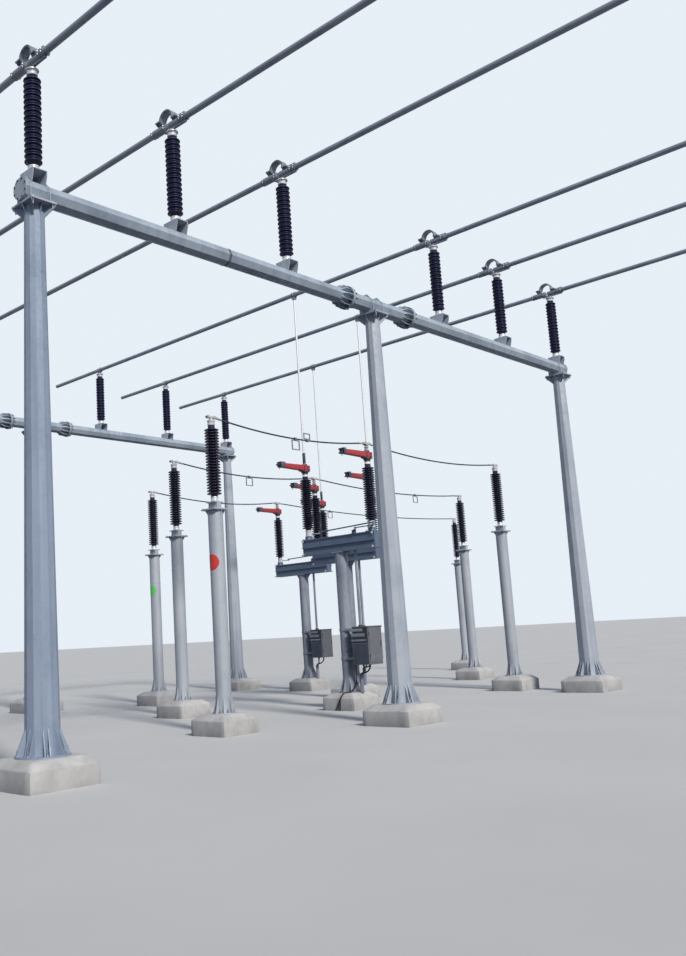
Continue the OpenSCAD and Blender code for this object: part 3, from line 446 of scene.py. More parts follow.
class Finish(Nodes):
    """A procedural material on Object coordinates, with short calls for its patterns."""

    def __init__(self, name):
        self.material = bpy.data.materials.new(name)
        self.material.use_nodes = True
        super().__init__(self.material.node_tree)
        self.shader = self.nodes["Principled BSDF"]
        self.coordinates = self.node("TexCoord").outputs["Object"]

    def stretched(self, x, y, z):
        """Object coordinates scaled along each axis."""
        return self.node("Mapping", Scale=(x, y, z), Vector=self.coordinates).outputs["Vector"]

    def noise(self, scale, detail=4.0, rough=0.55, source=None):
        """Cloudy pattern from 0 to 1."""
        source = source or self.coordinates
        node = self.node("TexNoise", Scale=scale, Detail=detail, Roughness=rough, Vector=source)
        return node.outputs["Fac"]

    def cells(self, scale):
        """A random grey for each crystal-like cell."""
        node = self.node("TexVoronoi", Scale=scale, Vector=self.coordinates)
        return self.node("RGBToBW", Color=node.outputs["Color"]).outputs["Val"]

    def ramp(self, value, *stops):
        """Colours at given values, mixed between them."""
        node = self.node("ValToRGB", Fac=value)
        elements = node.color_ramp.elements
        while len(elements) < len(stops):
            elements.new(0.5)
        for element, (place, colour) in zip(elements, stops):
            element.position = place
            element.color = (*colour, 1.0)
        return node.outputs["Color"]

    def between(self, value, low_out, high_out, low_in=0.0, high_in=1.0):
        """Value moved from one range to another."""
        ranges = {"From_Min": low_in, "From_Max": high_in, "To_Min": low_out, "To_Max": high_out}
        return self.node("MapRange", Value=value, **ranges).outputs["Result"]

    def mixed(self, share, first, second, blend="MIX"):
        """Two colours mixed by a share, each a socket or a plain colour."""
        node = self.node("Mix")
        node.data_type = "RGBA"
        node.blend_type = blend
        for socket, value in ((0, share), (6, first), (7, second)):
            self.feed(node.inputs[socket], (*value, 1.0) if isinstance(value, tuple) else value)
        return node.outputs[2]

    def bump(self, value, strength, distance):
        """Surface direction tilted by a pattern taken as height."""
        return self.node("Bump", Strength=strength, Distance=distance, Height=value).outputs["Normal"]

    def done(self, **inputs):
        """Fills the shader's inputs and gives the material back."""
        self.fill(self.shader, **inputs)
        return self.material


def galvanised(name, light, dark, patch, dirt=0.45, dull=None):
    """Weathered zinc: crystal cells, cloudy dull patches, rain streaks down the height and pale
    scuffs. A dull tone, where given, is multiplied in as painted shade over the first column."""
    f = Finish(name)
    clouds = f.noise(1.3, 6.0, 0.62)
    streaks = f.noise(9.0, 3.0, 0.5, f.stretched(1.0, 1.0, 0.05))
    scuffs = f.noise(26.0, 6.0, 0.7)
    body = f.ramp(clouds, (0.30, dark), (0.52, light), (0.75, light))
    body = f.mixed(f.between(f.cells(38.0), 0.0, 0.36), body, patch)
    body = f.mixed(f.between(streaks, 0.0, dirt, 0.45, 0.75), body, dark)
    body = f.mixed(f.between(scuffs, 0.0, 0.5, 0.62, 0.80), body, patch)
    # Painted shade: the dull tone darkens the first column and fades out across a strip of X.
    if dull:
        across = f.node("SeparateXYZ", Vector=f.coordinates).outputs["X"]
        share = f.between(across, 1.0, 0.0, SITE[0] + PAINTED_SHADE_X[0], SITE[0] + PAINTED_SHADE_X[1])
        body = f.mixed(share, body, f.mixed(1.0, body, dull, "MULTIPLY"))
    rough = f.between(f.noise(14.0, 5.0), 0.46, 0.72, 0.3, 0.7)
    bump = f.bump(f.noise(220.0, 2.0), 0.12, 0.002)
    return f.done(Base_Color=body, Metallic=0.15, Roughness=rough, Normal=bump)


def painted(name, base, faded, scale=6.0, rough=(0.35, 0.55), metal=0.0):
    """Brushed or sprayed paint that has faded in clouds, with a fine orange-peel surface."""
    f = Finish(name)
    clouds = f.noise(scale, 5.0, 0.6)
    dirt = f.noise(24.0, 4.0, 0.6, f.stretched(1.0, 1.0, 0.12))
    body = f.ramp(clouds, (0.32, base), (0.68, faded))
    body = f.mixed(f.between(dirt, 0.0, 0.35, 0.5, 0.8), body, tuple(c * 0.45 for c in base))
    rough = f.between(clouds, *rough, 0.3, 0.7)
    bump = f.bump(f.noise(320.0, 2.0), 0.06, 0.001)
    return f.done(Base_Color=body, Metallic=metal, Roughness=rough, Normal=bump)


def concrete_finish():
    """Cast concrete: mottled greys, dust, dark pores and a sandy surface."""
    f = Finish("cast_concrete")
    clouds = f.noise(3.2, 8.0, 0.65)
    grain = f.noise(85.0, 4.0, 0.7)
    body = f.ramp(
        clouds, (0.28, (0.40, 0.395, 0.385)), (0.5, (0.53, 0.52, 0.505)), (0.72, (0.64, 0.63, 0.61))
    )
    body = f.mixed(f.between(grain, 0.0, 0.24, 0.48, 0.75), body, (0.22, 0.22, 0.22))
    bump = f.bump(f.noise(130.0, 6.0, 0.7), 0.5, 0.006)
    return f.done(Base_Color=body, Roughness=f.between(grain, 0.82, 0.96), Normal=bump)


def porcelain_finish(name, deep, lit, dust, rough):
    """Dark glaze in two close shades, with faint pale flecks of dust on the sheds."""
    f = Finish(name)
    flecks = f.noise(46.0, 5.0, 0.7)
    clouds = f.noise(4.0, 3.0)
    body = f.ramp(clouds, (0.3, deep), (0.7, lit))
    body = f.mixed(f.between(flecks, 0.0, dust, 0.58, 0.85), body, (0.15, 0.16, 0.21))
    rough = f.between(flecks, *rough, 0.35, 0.75)
    return f.done(Base_Color=body, Roughness=rough, Specular_IOR_Level=0.3)


def tube_finish(name, base, dull, scale_y=0.08):
    """Drawn aluminium that has weathered: long faint streaks and dull clouds."""
    f = Finish(name)
    streaks = f.noise(60.0, 3.0, 0.5, f.stretched(1.0, scale_y, 1.0))
    clouds = f.noise(2.4, 5.0, 0.6)
    body = f.ramp(clouds, (0.32, dull), (0.62, base))
    body = f.mixed(f.between(streaks, 0.0, 0.4, 0.45, 0.75), body, dull)
    rough = f.between(clouds, 0.36, 0.56, 0.3, 0.7)
    return f.done(Base_Color=body, Metallic=0.35, Roughness=rough, Normal=f.bump(streaks, 0.05, 0.001))


def cast_finish(name, base, dull, metal, rough=(0.3, 0.5)):
    """Zinc-coated or bare casting with a fine pebbled skin."""
    f = Finish(name)
    clouds = f.noise(18.0, 5.0, 0.6)
    body = f.ramp(clouds, (0.34, dull), (0.62, base))
    rough = f.between(clouds, *rough, 0.3, 0.7)
    bump = f.bump(f.noise(260.0, 3.0), 0.18, 0.001)
    return f.done(Base_Color=body, Metallic=metal, Roughness=rough, Normal=bump)


ZINC = ((0.43, 0.47, 0.53), (0.29, 0.34, 0.42), (0.54, 0.57, 0.60))
STEEL = galvanised("galvanised_steel", *ZINC)
# Front columns' zinc, with painted shade over the first column.
COLUMN_STEEL_WITH_PAINTED_SHADE = galvanised("galvanised_columns_painted_shade", *ZINC, 0.6, (0.68, 0.75, 0.85))
BEAM_STEEL = galvanised("galvanised_beam", (0.37, 0.435, 0.505), (0.21, 0.27, 0.34), (0.49, 0.54, 0.585))
POST_STEEL = galvanised("galvanised_posts", (0.45, 0.485, 0.53), (0.33, 0.37, 0.43), (0.55, 0.57, 0.59))
POLE_STEEL = galvanised("galvanised_poles", (0.29, 0.32, 0.38), (0.12, 0.14, 0.20), (0.44, 0.45, 0.49), 0.8)
DARK_STEEL = painted("slate_steel", (0.10, 0.145, 0.225), (0.145, 0.195, 0.285), 5.0, (0.45, 0.65), 0.1)
WELD = cast_finish("weld_steel", (0.16, 0.18, 0.22), (0.09, 0.11, 0.14), 0.3, (0.5, 0.7))
BOLT_STEEL = cast_finish("bolt_steel", (0.36, 0.39, 0.43), (0.16, 0.18, 0.21), 0.4, (0.35, 0.55))
DARK_BOLT = cast_finish("dark_bolt_steel", (0.06, 0.07, 0.10), (0.025, 0.03, 0.045), 0.4, (0.4, 0.6))
GLAZE = porcelain_finish("navy_glaze", (0.005, 0.0065, 0.033), (0.010, 0.013, 0.054), 0.10, (0.34, 0.60))
DARK_GLAZE = porcelain_finish("dark_glaze", (0.008, 0.009, 0.030), (0.017, 0.018, 0.050), 0.40, (0.24, 0.50))
BRIGHT_CAP = cast_finish("bright_zinc_caps", (0.76, 0.78, 0.79), (0.54, 0.56, 0.59), 0.2)
# Pale zinc of the turning insulators' fittings, made paler than the other zinc caps as painted light.
PALE_CAP_PAINTED_LIGHT = cast_finish("pale_turning_caps_painted_light", (0.84, 0.84, 0.83), (0.68, 0.69, 0.71), 0.05)
TUBE = tube_finish("busbar_aluminium", (0.31, 0.34, 0.40), (0.20, 0.23, 0.29))
CLAMP = cast_finish("clamp_aluminium", (0.27, 0.30, 0.35), (0.14, 0.16, 0.20), 0.3)
DROPPER = tube_finish("dropper_aluminium", (0.80, 0.81, 0.82), (0.72, 0.73, 0.75), 1.0)
PALE_CAST = cast_finish("pale_cast_aluminium", (0.60, 0.58, 0.54), (0.38, 0.38, 0.38), 0.2)
STRAND = cast_finish("conductor_strands", (0.055, 0.07, 0.10), (0.028, 0.036, 0.055), 0.1, (0.55, 0.75))
CONCRETE = concrete_finish()
ARM_RED = painted("arm_red_paint", (0.38, 0.015, 0.022), (0.46, 0.035, 0.038), 7.0, (0.30, 0.48))
DISC_RED = painted("disc_red_paint", (0.62, 0.032, 0.022), (0.70, 0.06, 0.045), 9.0)
DISC_GREEN = painted("disc_green_paint", (0.12, 0.62, 0.14), (0.18, 0.70, 0.21), 9.0)
CONTACT = cast_finish("contact_dark", (0.055, 0.058, 0.075), (0.022, 0.023, 0.032), 0.3)
DARK_ZINC = cast_finish("dark_zinc", (0.13, 0.14, 0.17), (0.05, 0.055, 0.075), 0.3)
CABINET = painted("cabinet_grey_paint", (0.125, 0.132, 0.150), (0.17, 0.178, 0.20), 4.0, (0.45, 0.65))
# Painted shade: the near-black blue of the cabinets' side sheets stands for the shade on their sides.
CABINET_SIDE_PAINTED_SHADE = painted("cabinet_side_painted_shade", (0.032, 0.042, 0.070), (0.060, 0.075, 0.110), 5.0, (0.4, 0.6))
RUBBER = painted("black_rubber", (0.012, 0.012, 0.014), (0.03, 0.03, 0.034), 12.0, (0.55, 0.75))


# The CAD nodes that no finer piece replaces

CAD_FINISHES = [
    ("front_columns", COLUMN_STEEL_WITH_PAINTED_SHADE),
    ("rear_columns insulator_pedestals beam_saddles", STEEL),
    ("front_beam_left front_beam_middle front_beam_right", BEAM_STEEL),
    ("rear_beam_left rear_beam_middle rear_beam_right", BEAM_STEEL),
    ("post_columns post_heads", POST_STEEL),
    ("disconnector_columns pole_1_drive_shaft pole_2_drive_shaft pole_3_drive_shaft", POLE_STEEL),
    ("disconnector_beams disconnector_bearings", DARK_STEEL),
    ("pole_1_drive_rods pole_2_drive_rods pole_3_drive_rods", DARK_STEEL),
    ("busbars_near busbars_main", TUBE),
    ("expansion_clamps expansion_loops busbar_clamps dropper_clamps earthing_loops", CLAMP),
    ("droppers", DROPPER)
]
for names, finish in CAD_FINISHES:
    for name in names.split():
        materials = NODES[name].data.materials
        materials.clear()
        materials.append(finish)


# Porcelain and its metal caps. Each number of a shed says how far up its own step a point lies.

THIN_SHED = np.array([0.0, 0.03, 0.01, 0.06, 0.18, 0.28, 0.34, 0.72, 0.82])
THICK_SHED = np.array([0.0, 0.03, 0.08, 0.15, 0.34, 0.52, 0.60, 0.84, 0.90])


def insulator_body(bottom, top, count, large_r=POST_SHED_R, small_r=POST_SHED_R, valley_r=CORE_R,
                   shed=THIN_SHED):
    """Insulator body turned from a profile: on a straight core, sheds with a flat underside, a rounded
    rim and a top that falls outwards. The sheds have the large and the small radius in turn."""
    end = 0.045
    step = (top - bottom - 2 * end) / count
    z = bottom + end + step * np.arange(count)
    rim = np.where(np.arange(count) % 2 == 0, large_r, small_r)[:, None]
    core = np.full((count, 1), valley_r)
    radius = np.concatenate([
        core + 0.001, core + 0.006, rim - 0.005, rim - 0.001, rim, rim - 0.002, rim - 0.008,
        core + 0.014, core + 0.001
    ], 1)
    sheds = np.stack([radius, z[:, None] + step * shed], -1).reshape(-1, 2)
    return turned(np.concatenate([[[CORE_R, bottom]], sheds, [[CORE_R, top]]]), INSULATOR_SIDES)


def cap_profile(h, r, flange_r):
    """Profile of a foot cap: a flange, a hollow corner, a straight body and a rolled lip."""
    return np.array([
        (flange_r - 0.002, 0.0), (flange_r, 0.002), (flange_r, 0.016), (flange_r - 0.003, CAP_FLANGE_T),
        (r + 0.005, 0.021), (r, 0.028), (r - 0.001, h - 0.026), (r + 0.003, h - 0.022),
        (r + 0.003, h - 0.010), (r - 0.001, h - 0.003), (CORE_R + 0.002, h)
    ])


def both_caps(bottom, top, r, flange_r):
    """The foot cap and the same profile upside down as the head cap."""
    foot = cap_profile(CAP_H, r, flange_r) + [0, bottom]
    head = np.stack([foot[:, 0], top + bottom - foot[:, 1]], -1)[::-1]
    return joined([turned(foot, INSULATOR_SIDES), turned(head, INSULATOR_SIDES)])


portal_bottom, portal_top = low("portal_insulators")[2], high("portal_insulators")[2]
post_bottom, post_top = low("post_insulators")[2], high("post_insulators")[2]
front_places = np.stack([BUS_X, 0 * BUS_X, 0 * BUS_X], 1)
rear_places = front_places + [0, PORTAL_DEPTH, 0]
portal_places = np.concatenate([front_places, rear_places])
portal_body = insulator_body(
    portal_bottom, portal_top, PORTAL_SHEDS, SHED_R, SMALL_SHED_R, PORTAL_VALLEY_R, THICK_SHED
)
post_body = insulator_body(post_bottom, post_top, POST_SHEDS)
add_piece("front_porcelain", copies(portal_body, front_places), GLAZE, "bay",
          ["portal_insulators"], 50)
add_piece("rear_porcelain", copies(portal_body, rear_places), GLAZE, smooth=50)
add_piece("post_porcelain", copies(post_body, POSTS), DARK_GLAZE, "bay", ["post_insulators"], 50)

portal_caps = both_caps(portal_bottom - CAP_H, portal_top + CAP_H, CORE_R + 0.011, 0.095)
post_caps = both_caps(post_bottom - CAP_H, post_top + CAP_H, CORE_R + 0.003, CORE_R + 0.011)
add_piece("portal_caps", copies(portal_caps, portal_places), BRIGHT_CAP, "bay",
          ["portal_insulator_caps"])
add_piece("post_caps", copies(post_caps, POSTS), BRIGHT_CAP, "bay", ["post_insulator_caps"])


# Foundation blocks


def cast_block(x, y, w, phase):
    """Block of squarish rings: r(a) = w / 2 / (|cos a|^p + |sin a|^p)^(1/p), slightly wavy round the
    sides. The rings climb the side, cross the weathered border and close on the flat top."""
    a = np.arange(96) * 2 * np.pi / 96
    power = 22.0
    outline = (np.abs(np.cos(a)) ** power + np.abs(np.sin(a)) ** power) ** (-1 / power)
    edge = BLOCK_H - BLOCK_FALL
    half = w / 2
    top_half = half - BLOCK_BORDER
    reach = np.array([
        half - 0.004, half, half, half - 0.004, half - 0.014, top_half + 0.02, top_half, top_half - 0.06
    ])
    height = np.array([
        0.0, 0.01, edge - 0.020, edge - 0.006, edge + 0.004, BLOCK_H - 0.016, BLOCK_H - 0.003, BLOCK_H
    ])
    wave = 0.5 * np.sin(3 * a + phase) + 0.3 * np.sin(7 * a + 2 * phase) + 0.2 * np.sin(13 * a + 3 * phase)
    depth = np.array([0.002, 0.004, 0.005, 0.006, 0.006, 0.004, 0.002, 0.0])
    sag = np.array([0.0, 0.0, 0.006, 0.006, 0.006, 0.003, 0.0, 0.0])
    r = reach[:, None] * outline[None] - depth[:, None] * (1 + wave[None])
    z = height[:, None] - sag[:, None] * (1 + np.roll(wave, 11)[None])
    rings = np.stack([x + r * np.cos(a), y + r * np.sin(a), z], -1)
    return closed_rings(rings)


def add_blocks(name, places, w, node):
    """Adds a block at every place, each with waves of its own."""
    shapes = [cast_block(place[0], place[1], w, 1.7 * index) for index, place in enumerate(places)]
    add_piece(name, joined(shapes), CONCRETE, "bay", [node], 40)


add_blocks("portal_blocks", PORTAL_COLUMNS, PORTAL_BLOCK_W, "portal_foundations")
add_blocks("post_blocks", POSTS, POST_BLOCK_W, "post_foundations")
add_blocks("disconnector_blocks", POLE_AXES, POLE_BLOCK_W, "disconnector_foundations")


# Bolts and weld beads


def ring_places(r, count, z=0.0):
    """Points evenly spaced round a circle, the first of them half a step round from +X."""
    a = (np.arange(count) + 0.5) * 2 * np.pi / count
    return np.stack([r * np.cos(a), r * np.sin(a), np.full(count, z)], -1)


def at_each(local, places):
    """Every local point repeated about every place."""
    return (np.asarray(places, float)[:, None] + np.asarray(local, float)[None]).reshape(-1, 3)


def beam_bolts(bolt, r, count, x, facing):
    """Bolts in a circle about the axis of both portals' beams, on the faces at x."""
    circle = ring_places(r, count)[:, [2, 0, 1]] + [0, 0, BEAM_Z]
    return stamped(bolt, at_each(circle, on_portals(x)), (facing, 0, 0))


portal_ring = ring_places(PORTAL_ANCHOR_R, FOOT_PAIRS, BLOCK_H + PORTAL_FOOT_T)
post_ring = ring_places(POST_ANCHOR_R, 8, BLOCK_H + POST_FOOT_T)
pole_ring = ring_places(POLE_ANCHOR_R, 8, BLOCK_H + POST_FOOT_T)
small_anchors = np.concatenate([at_each(post_ring, POSTS), at_each(pole_ring, POLE_AXES)])
add_piece("anchor_bolts", joined([
    stamped(hex_bolt(0.026, 0.085), at_each(portal_ring, PORTAL_COLUMNS), UP),
    stamped(hex_bolt(0.020, 0.065), small_anchors, UP)
]), BOLT_STEEL)

flange_bolts = []
for splice_x in (COLUMN_X[1] - SPLICE_LEFT, COLUMN_X[1] + SPLICE_RIGHT):
    for facing, bolt in ((-1, hex_bolt(0.024)), (1, hex_bolt(0.028, 0.085))):
        flange_bolts.append(beam_bolts(bolt, SPLICE_BOLT_R, 12, splice_x + facing * FLANGE_T, facing))
for end_x, facing in ((-BEAM_OVERHANG - END_PLATE_T, -1), (BUS_X[5] + BEAM_OVERHANG + END_PLATE_T, 1)):
    flange_bolts.append(beam_bolts(hex_bolt(0.014), END_BOLT_R, 8, end_x, facing))
add_piece("splice_bolts", joined(flange_bolts), DARK_ZINC)

strap_corners = [(sx * STRAP_PITCH / 2, sy * (CAP_PLATE_W / 2 - 0.035), COLUMN_TOP) for sx, sy in SIGNS]
below = at_each(strap_corners, PORTAL_COLUMNS)
add_piece("saddle_bolts", joined([
    stamped(hex_bolt(0.022), below + [0, 0, CAP_PLATE_T], UP), stamped(hex_bolt(0.022, 0.075), below, DOWN)
]), BOLT_STEEL)

pedestal_ring = ring_places(CAP_BOLT_R, 4, PEDESTAL_TOP + CAP_FLANGE_T)
cap_ring = ring_places(CAP_BOLT_R, 4, portal_top + CAP_H - CAP_FLANGE_T)
head_corner = HEAD_PLATE_W / 2 - 0.032
head_corners = [(sx * head_corner, sy * head_corner, POST_TOP) for sx, sy in SIGNS]
add_piece("fitting_bolts", joined([
    stamped(hex_bolt(0.012), at_each(pedestal_ring, portal_places), UP),
    stamped(hex_bolt(0.012), at_each(cap_ring, portal_places), DOWN),
    stamped(hex_bolt(0.018), at_each(head_corners, POSTS), UP)
]), BOLT_STEEL)

drop_places = np.array([FAR_AXES[0], NEAR_AXES[1], NEAR_AXES[2]]) * [1, 1, 0]
clamp_shapes = []
for x, rows, places, half in (
    (CLAMP_BOLT_X, JAW_BOLT_Y, front_places, 0.011),
    (CLAMP_BOLT_X, REAR_BOLT_Y, rear_places, 0.011),
    (DROP_BOLT_X, DROP_BOLT_Y, drop_places, 0.010)
):
    across = at_each([(side * x, y, BUSBAR_Z) for side in (-1, 1) for y in rows], places)
    for lift, facing in ((half, UP), (-half, DOWN)):
        clamp_shapes.append(stamped(hex_bolt(0.014, 0.024), across + [0, 0, lift], facing))
add_piece("clamp_bolts", joined(clamp_shapes), BRIGHT_CAP)


def octagon_bead(x, y, r=0.146, width=0.016):
    """Raised weld bead round the eight-sided beam: an octagon, a corner up, carried a little way."""
    section = round_section(1.0, 8)
    scale = np.array([r - 0.003, r, r, r - 0.003])
    path = [(x + share * width, y, BEAM_Z) for share in (-1 / 2, -1 / 3, 1 / 3, 1 / 2)]
    return carried(path, section[None] * scale[:, None, None])


beads = [octagon_bead(x, y) for y in PORTAL_Y for x in WELD_X]
joint_beads = [octagon_bead(JOINT_X, y, 0.149, 0.05) for y in PORTAL_Y]
add_piece("beam_welds", joined(beads), BEAM_STEEL, smooth=20)
add_piece("beam_joint_welds", joined(joint_beads), WELD, smooth=20)


# Posts: bands, phase discs and clamps


def band(r, z, h):
    """Flat hoop with rounded edges."""
    return turned([(r - 0.004, z), (r, z + 0.003), (r, z + h - 0.003), (r - 0.004, z + h)], 40)


post_band = band(POST_R + 0.004, BLOCK_H + BAND_Z, BAND_H)
add_piece("post_bands", copies(post_band, LEFT_POSTS[1:]), POST_STEEL)


def wrapped_disc(place):
    """Disc bent round the post: a point (u, v) of the flat disc lies at angle u / R from the -X side,
    at height v. Rings run from the middle of the front to the rim and back behind."""
    radius = np.array([0.2, 0.5, 0.8, 0.985, 1.0, 1.0, 0.985, 0.8, 0.5, 0.2]) * DISC_R
    lift = np.array([3.2, 3.2, 3.2, 3.2, 2.9, 0.6, 0.3, 0.3, 0.3, 0.3]) * 0.001
    a = -np.arange(64) * 2 * np.pi / 64
    u = radius[:, None] * np.cos(a)
    v = radius[:, None] * np.sin(a)
    r = POST_R + lift[:, None] + 0 * u
    turn = u / POST_R
    rings = np.stack([-r * np.cos(turn), r * np.sin(turn), v], -1)[::-1]
    return closed_rings(rings + np.asarray(place) + [0, 0, BLOCK_H + DISC_Z])


add_piece("red_disc", wrapped_disc(LEFT_POSTS[0]), DISC_RED, "bay", ["phase_discs"], 60)
add_piece("green_disc", wrapped_disc(LEFT_POSTS[2]), DISC_GREEN, smooth=60)


def clamp_bar():
    """Bar of a conductor clamp about the conductor's axis, with a keeper and bolts at each end."""
    half = CLAMP_BAR_L / 2
    shapes = [bar((-half, 0, 0), (half, 0, 0), CLAMP_BAR_W - 0.014, CLAMP_BAR_H - 0.016, 0.006)]
    for side in (-1, 1):
        shapes.append(bar((side * half, 0, 0), (side * (half - 0.07), 0, 0), CLAMP_BAR_W, CLAMP_BAR_H, 0.008))
    places = [(sx * (half - dx), sy * 0.022, CLAMP_BAR_H / 2) for sx, sy in SIGNS for dx in (0.018, 0.052)]
    shapes.append(stamped(hex_bolt(0.011), places, UP))
    return joined(shapes)


seat = post_top + CAP_H
palm = moved(turned([
    (0.052, 0.0), (0.055, 0.003), (0.055, 0.011), (0.052, 0.013), (0.033, 0.016), (0.030, 0.022),
    (0.030, CONDUCTOR_Z - seat)
], 28), (0, 0, seat))
post_clamp = joined([palm, moved(clamp_bar(), (0, 0, CONDUCTOR_Z))])
add_piece("post_clamps_cast", copies(post_clamp, POSTS), PALE_CAST, "bay", ["post_clamps"])


# Conductors: strands laid round an arc


def stranded(path, r, lobes=8, lay=0.36):
    """Tube whose section is r (1 + 0.07 cos(n (a - 2 pi s / lay))) at arc length s, so that its
    outer strands run round it."""
    path = np.asarray(path, float)
    s = np.concatenate([[0], np.cumsum(np.linalg.norm(np.diff(path, axis=0), axis=1))])
    sides = 3 * lobes
    a = np.arange(sides) * 2 * np.pi / sides
    swell = r * (0.96 + 0.07 * np.cos(lobes * a))
    turned_a = a[None] + 2 * np.pi * s[:, None] / lay
    sections = np.stack([swell * np.cos(turned_a), swell * np.sin(turned_a)], -1)
    return carried(path, sections)


def span_path(x0, x1, y, step=0.035):
    """Arc of a circle through both ends that hangs by the sag in the middle."""
    count = int((x1 - x0) / step)
    x = np.linspace(x0, x1, count)
    radius = ((x1 - x0) ** 2 / 4 + SAG * SAG) / (2 * SAG)
    z = CONDUCTOR_Z + radius - SAG - np.sqrt(radius ** 2 - (x - (x0 + x1) / 2) ** 2)
    return np.stack([x, np.full(count, y), z], -1)


strands = []
lugs = []
for row in range(3):
    for left, right in ((LEFT_POSTS, POLE_AXES), (POLE_AXES, RIGHT_POSTS)):
        x0, x1 = left[row, 0] + CLAMP_BAR_L / 2, right[row, 0] - CLAMP_BAR_L / 2
        path = span_path(x0 + 0.01, x1 - 0.01, ROW_Y[row])
        strands.append(stranded(path, CONDUCTOR_R))
        for near, far, face in ((path[1], path[4], x0), (path[-2], path[-5], x1)):
            inward = np.sign(far[0] - near[0])
            lugs.append(rod(near, far, LUG_R, 16, 0.004))
            lug_start = np.array([face, near[1], CONDUCTOR_Z])
            lugs.append(bar(lug_start, lug_start + [inward * LUG_L, 0, 0], 0.05, 0.04, 0.008))
add_piece("conductor_strands", joined(strands), STRAND, "bay", ["conductors"], 80)
add_piece("conductor_lugs", joined(lugs), PALE_CAST)


def coil(place, z0, z1, r, wire, turns):
    """Round wire wound on a helix: (r cos t, r sin t, z) with z climbing evenly."""
    t = np.linspace(0, turns * 2 * np.pi, turns * 20)
    path = np.stack([r * np.cos(t), r * np.sin(t), np.linspace(z0, z1, len(t))], -1)
    return carried(path + place, round_section(wire, 8))


terminal_z = ARM_Z + ARM_H + TURN_GAP
coils = [coil(place, terminal_z + 0.035, CONDUCTOR_Z + 0.10, 0.031, 0.009, 9) for place in drop_places]
add_piece("dropper_armour", joined(coils), DARK_BOLT, smooth=80)


# Terminals over the arms

rise = CONDUCTOR_Z - terminal_z
stem = moved(turned([
    (0.018, -0.035), (0.020, -0.033), (0.020, 0.0), (0.062, 0.0), (0.065, 0.003), (0.065, 0.017),
    (0.062, 0.020), (0.037, 0.023), (0.028, 0.034), (0.028, rise - 0.03), (0.032, rise - 0.02),
    (0.032, rise + 0.019), (0.029, rise + 0.022)
], 28), (0, 0, terminal_z))
knob = turned([
    (0.027, 0.0), (0.046, 0.003), (0.050, 0.008), (0.050, 0.026), (0.046, 0.031), (0.027, 0.034)
], 24)
feeder_axes = np.stack([POLE_AXES[:, 0], ROW_Y, 0 * ROW_Y], 1)
knob_heights = np.array([[0, 0, terminal_z + dz] for dz in (0.030, 0.082, 0.134)])
t_block = bar((-0.055, 0, CONDUCTOR_Z - 0.006), (0.055, 0, CONDUCTOR_Z - 0.006), 0.092, 0.052, 0.010)
add_piece("arm_terminals", copies(stem, np.concatenate([NEAR_AXES, FAR_AXES])), CLAMP, "bay",
          ["terminals"])
add_piece("feeder_terminals", joined([
    copies(knob, at_each(knob_heights, feeder_axes)),
    copies(joined([t_block, moved(clamp_bar(), (0, 0, CONDUCTOR_Z))]), feeder_axes)
]), PALE_CAST)


# Turning insulators, their cranks and the arms

turning_body = insulator_body(CORE_Z, HEAD_Z, TURNING_SHEDS)
foot_fitting = turned([
    (0.028, -0.064), (0.030, -0.061), (0.030, 0.0), (0.066, 0.0), (0.070, 0.004), (0.070, 0.046),
    (0.066, 0.050), (0.066, 0.100), (0.069, 0.104), (0.069, 0.134), (0.066, FOOT_CAP_H)
], INSULATOR_SIDES)
head_neck = turned([
    (0.064, 0.0), (0.070, 0.004), (0.070, 0.018), (0.060, 0.024), (0.058, 0.028), (0.058, 0.062),
    (0.050, 0.064)
], INSULATOR_SIDES)
# Painted shade: the clamp under the arm is given a near-black finish for the shade the arm throws on it.
head_clamp_painted_shade = moved(turned([
    (0.050, 0.060), (0.066, 0.063), (0.068, 0.098), (0.087, 0.107), (0.090, 0.110), (0.090, 0.141),
    (0.086, HEAD_CAP_H)
], INSULATOR_SIDES), (0, 0, HEAD_Z))
turning_fittings = joined([moved(foot_fitting, (0, 0, FOOT_Z)), moved(head_neck, (0, 0, HEAD_Z))])


def crank(angle, t=0.02, w=0.05):
    """Flat lever from the axis to its pin, with a round boss at the pin."""
    a = np.radians(angle)
    z = CORE_Z - CRANK_DROP + t / 2
    pin = np.array([CRANK_R * np.cos(a), CRANK_R * np.sin(a), z])
    lever = bar((0, 0, z), pin, w, t, 0.006)
    boss = rod(pin - [0, 0, t / 2], pin + [0, 0, t / 2], w / 2 + 0.001, 24)
    return joined([lever, boss])


def arm_box(tip):
    """Tapered box of the arm: rounded rectangles carried from the tail to a tip's length before the
    arm's end."""
    end = tip - ARM_REACH
    x = np.array([ARM_TAIL, ARM_TAIL - 0.006, -0.12, end + 0.006, end])
    w = ARM_W - np.array([0.012, 0.0, 0.0, 0.004, 0.014])
    h = ARM_H - np.array([0.012, 0.0, 0.0, 0.026, 0.036])
    sections = np.stack([rounded_rectangle(wide, tall, 0.012) for wide, tall in zip(w, h)])
    return carried(np.stack([x, 0 * x, 0 * x + ARM_MID], -1), sections)


def arm_contact(forked, tip):
    """Contact block, with finger bars or a blade on its nose."""
    start = tip - ARM_REACH + CONTACT_LAP
    shapes = [bar((start, 0, ARM_MID), (NOSE_X, 0, ARM_MID), 0.08, ARM_H - 0.02, 0.006)]
    bars = [(0, 0, 0.08, 0.032)]
    if forked:
        bars = [(y, dz, 0.036, 0.028) for dz in (-0.040, 0.040) for y in (-0.021, 0.021)]
    for y, dz, w, h in bars:
        z = ARM_MID + dz
        shapes.append(bar((NOSE_X + 0.01, y, z), (-ARM_REACH, y, z), w, h, 0.006, 0.005))
    return joined(shapes)


def side_bolts(size, y, places):
    """Bolts on both sides of an arm, y from its middle, at each (x, z)."""
    sides = [(side, [(x, side * y, z) for x, z in places]) for side in (-1, 1)]
    return [stamped(hex_bolt(size), points, (0, side, 0)) for side, points in sides]


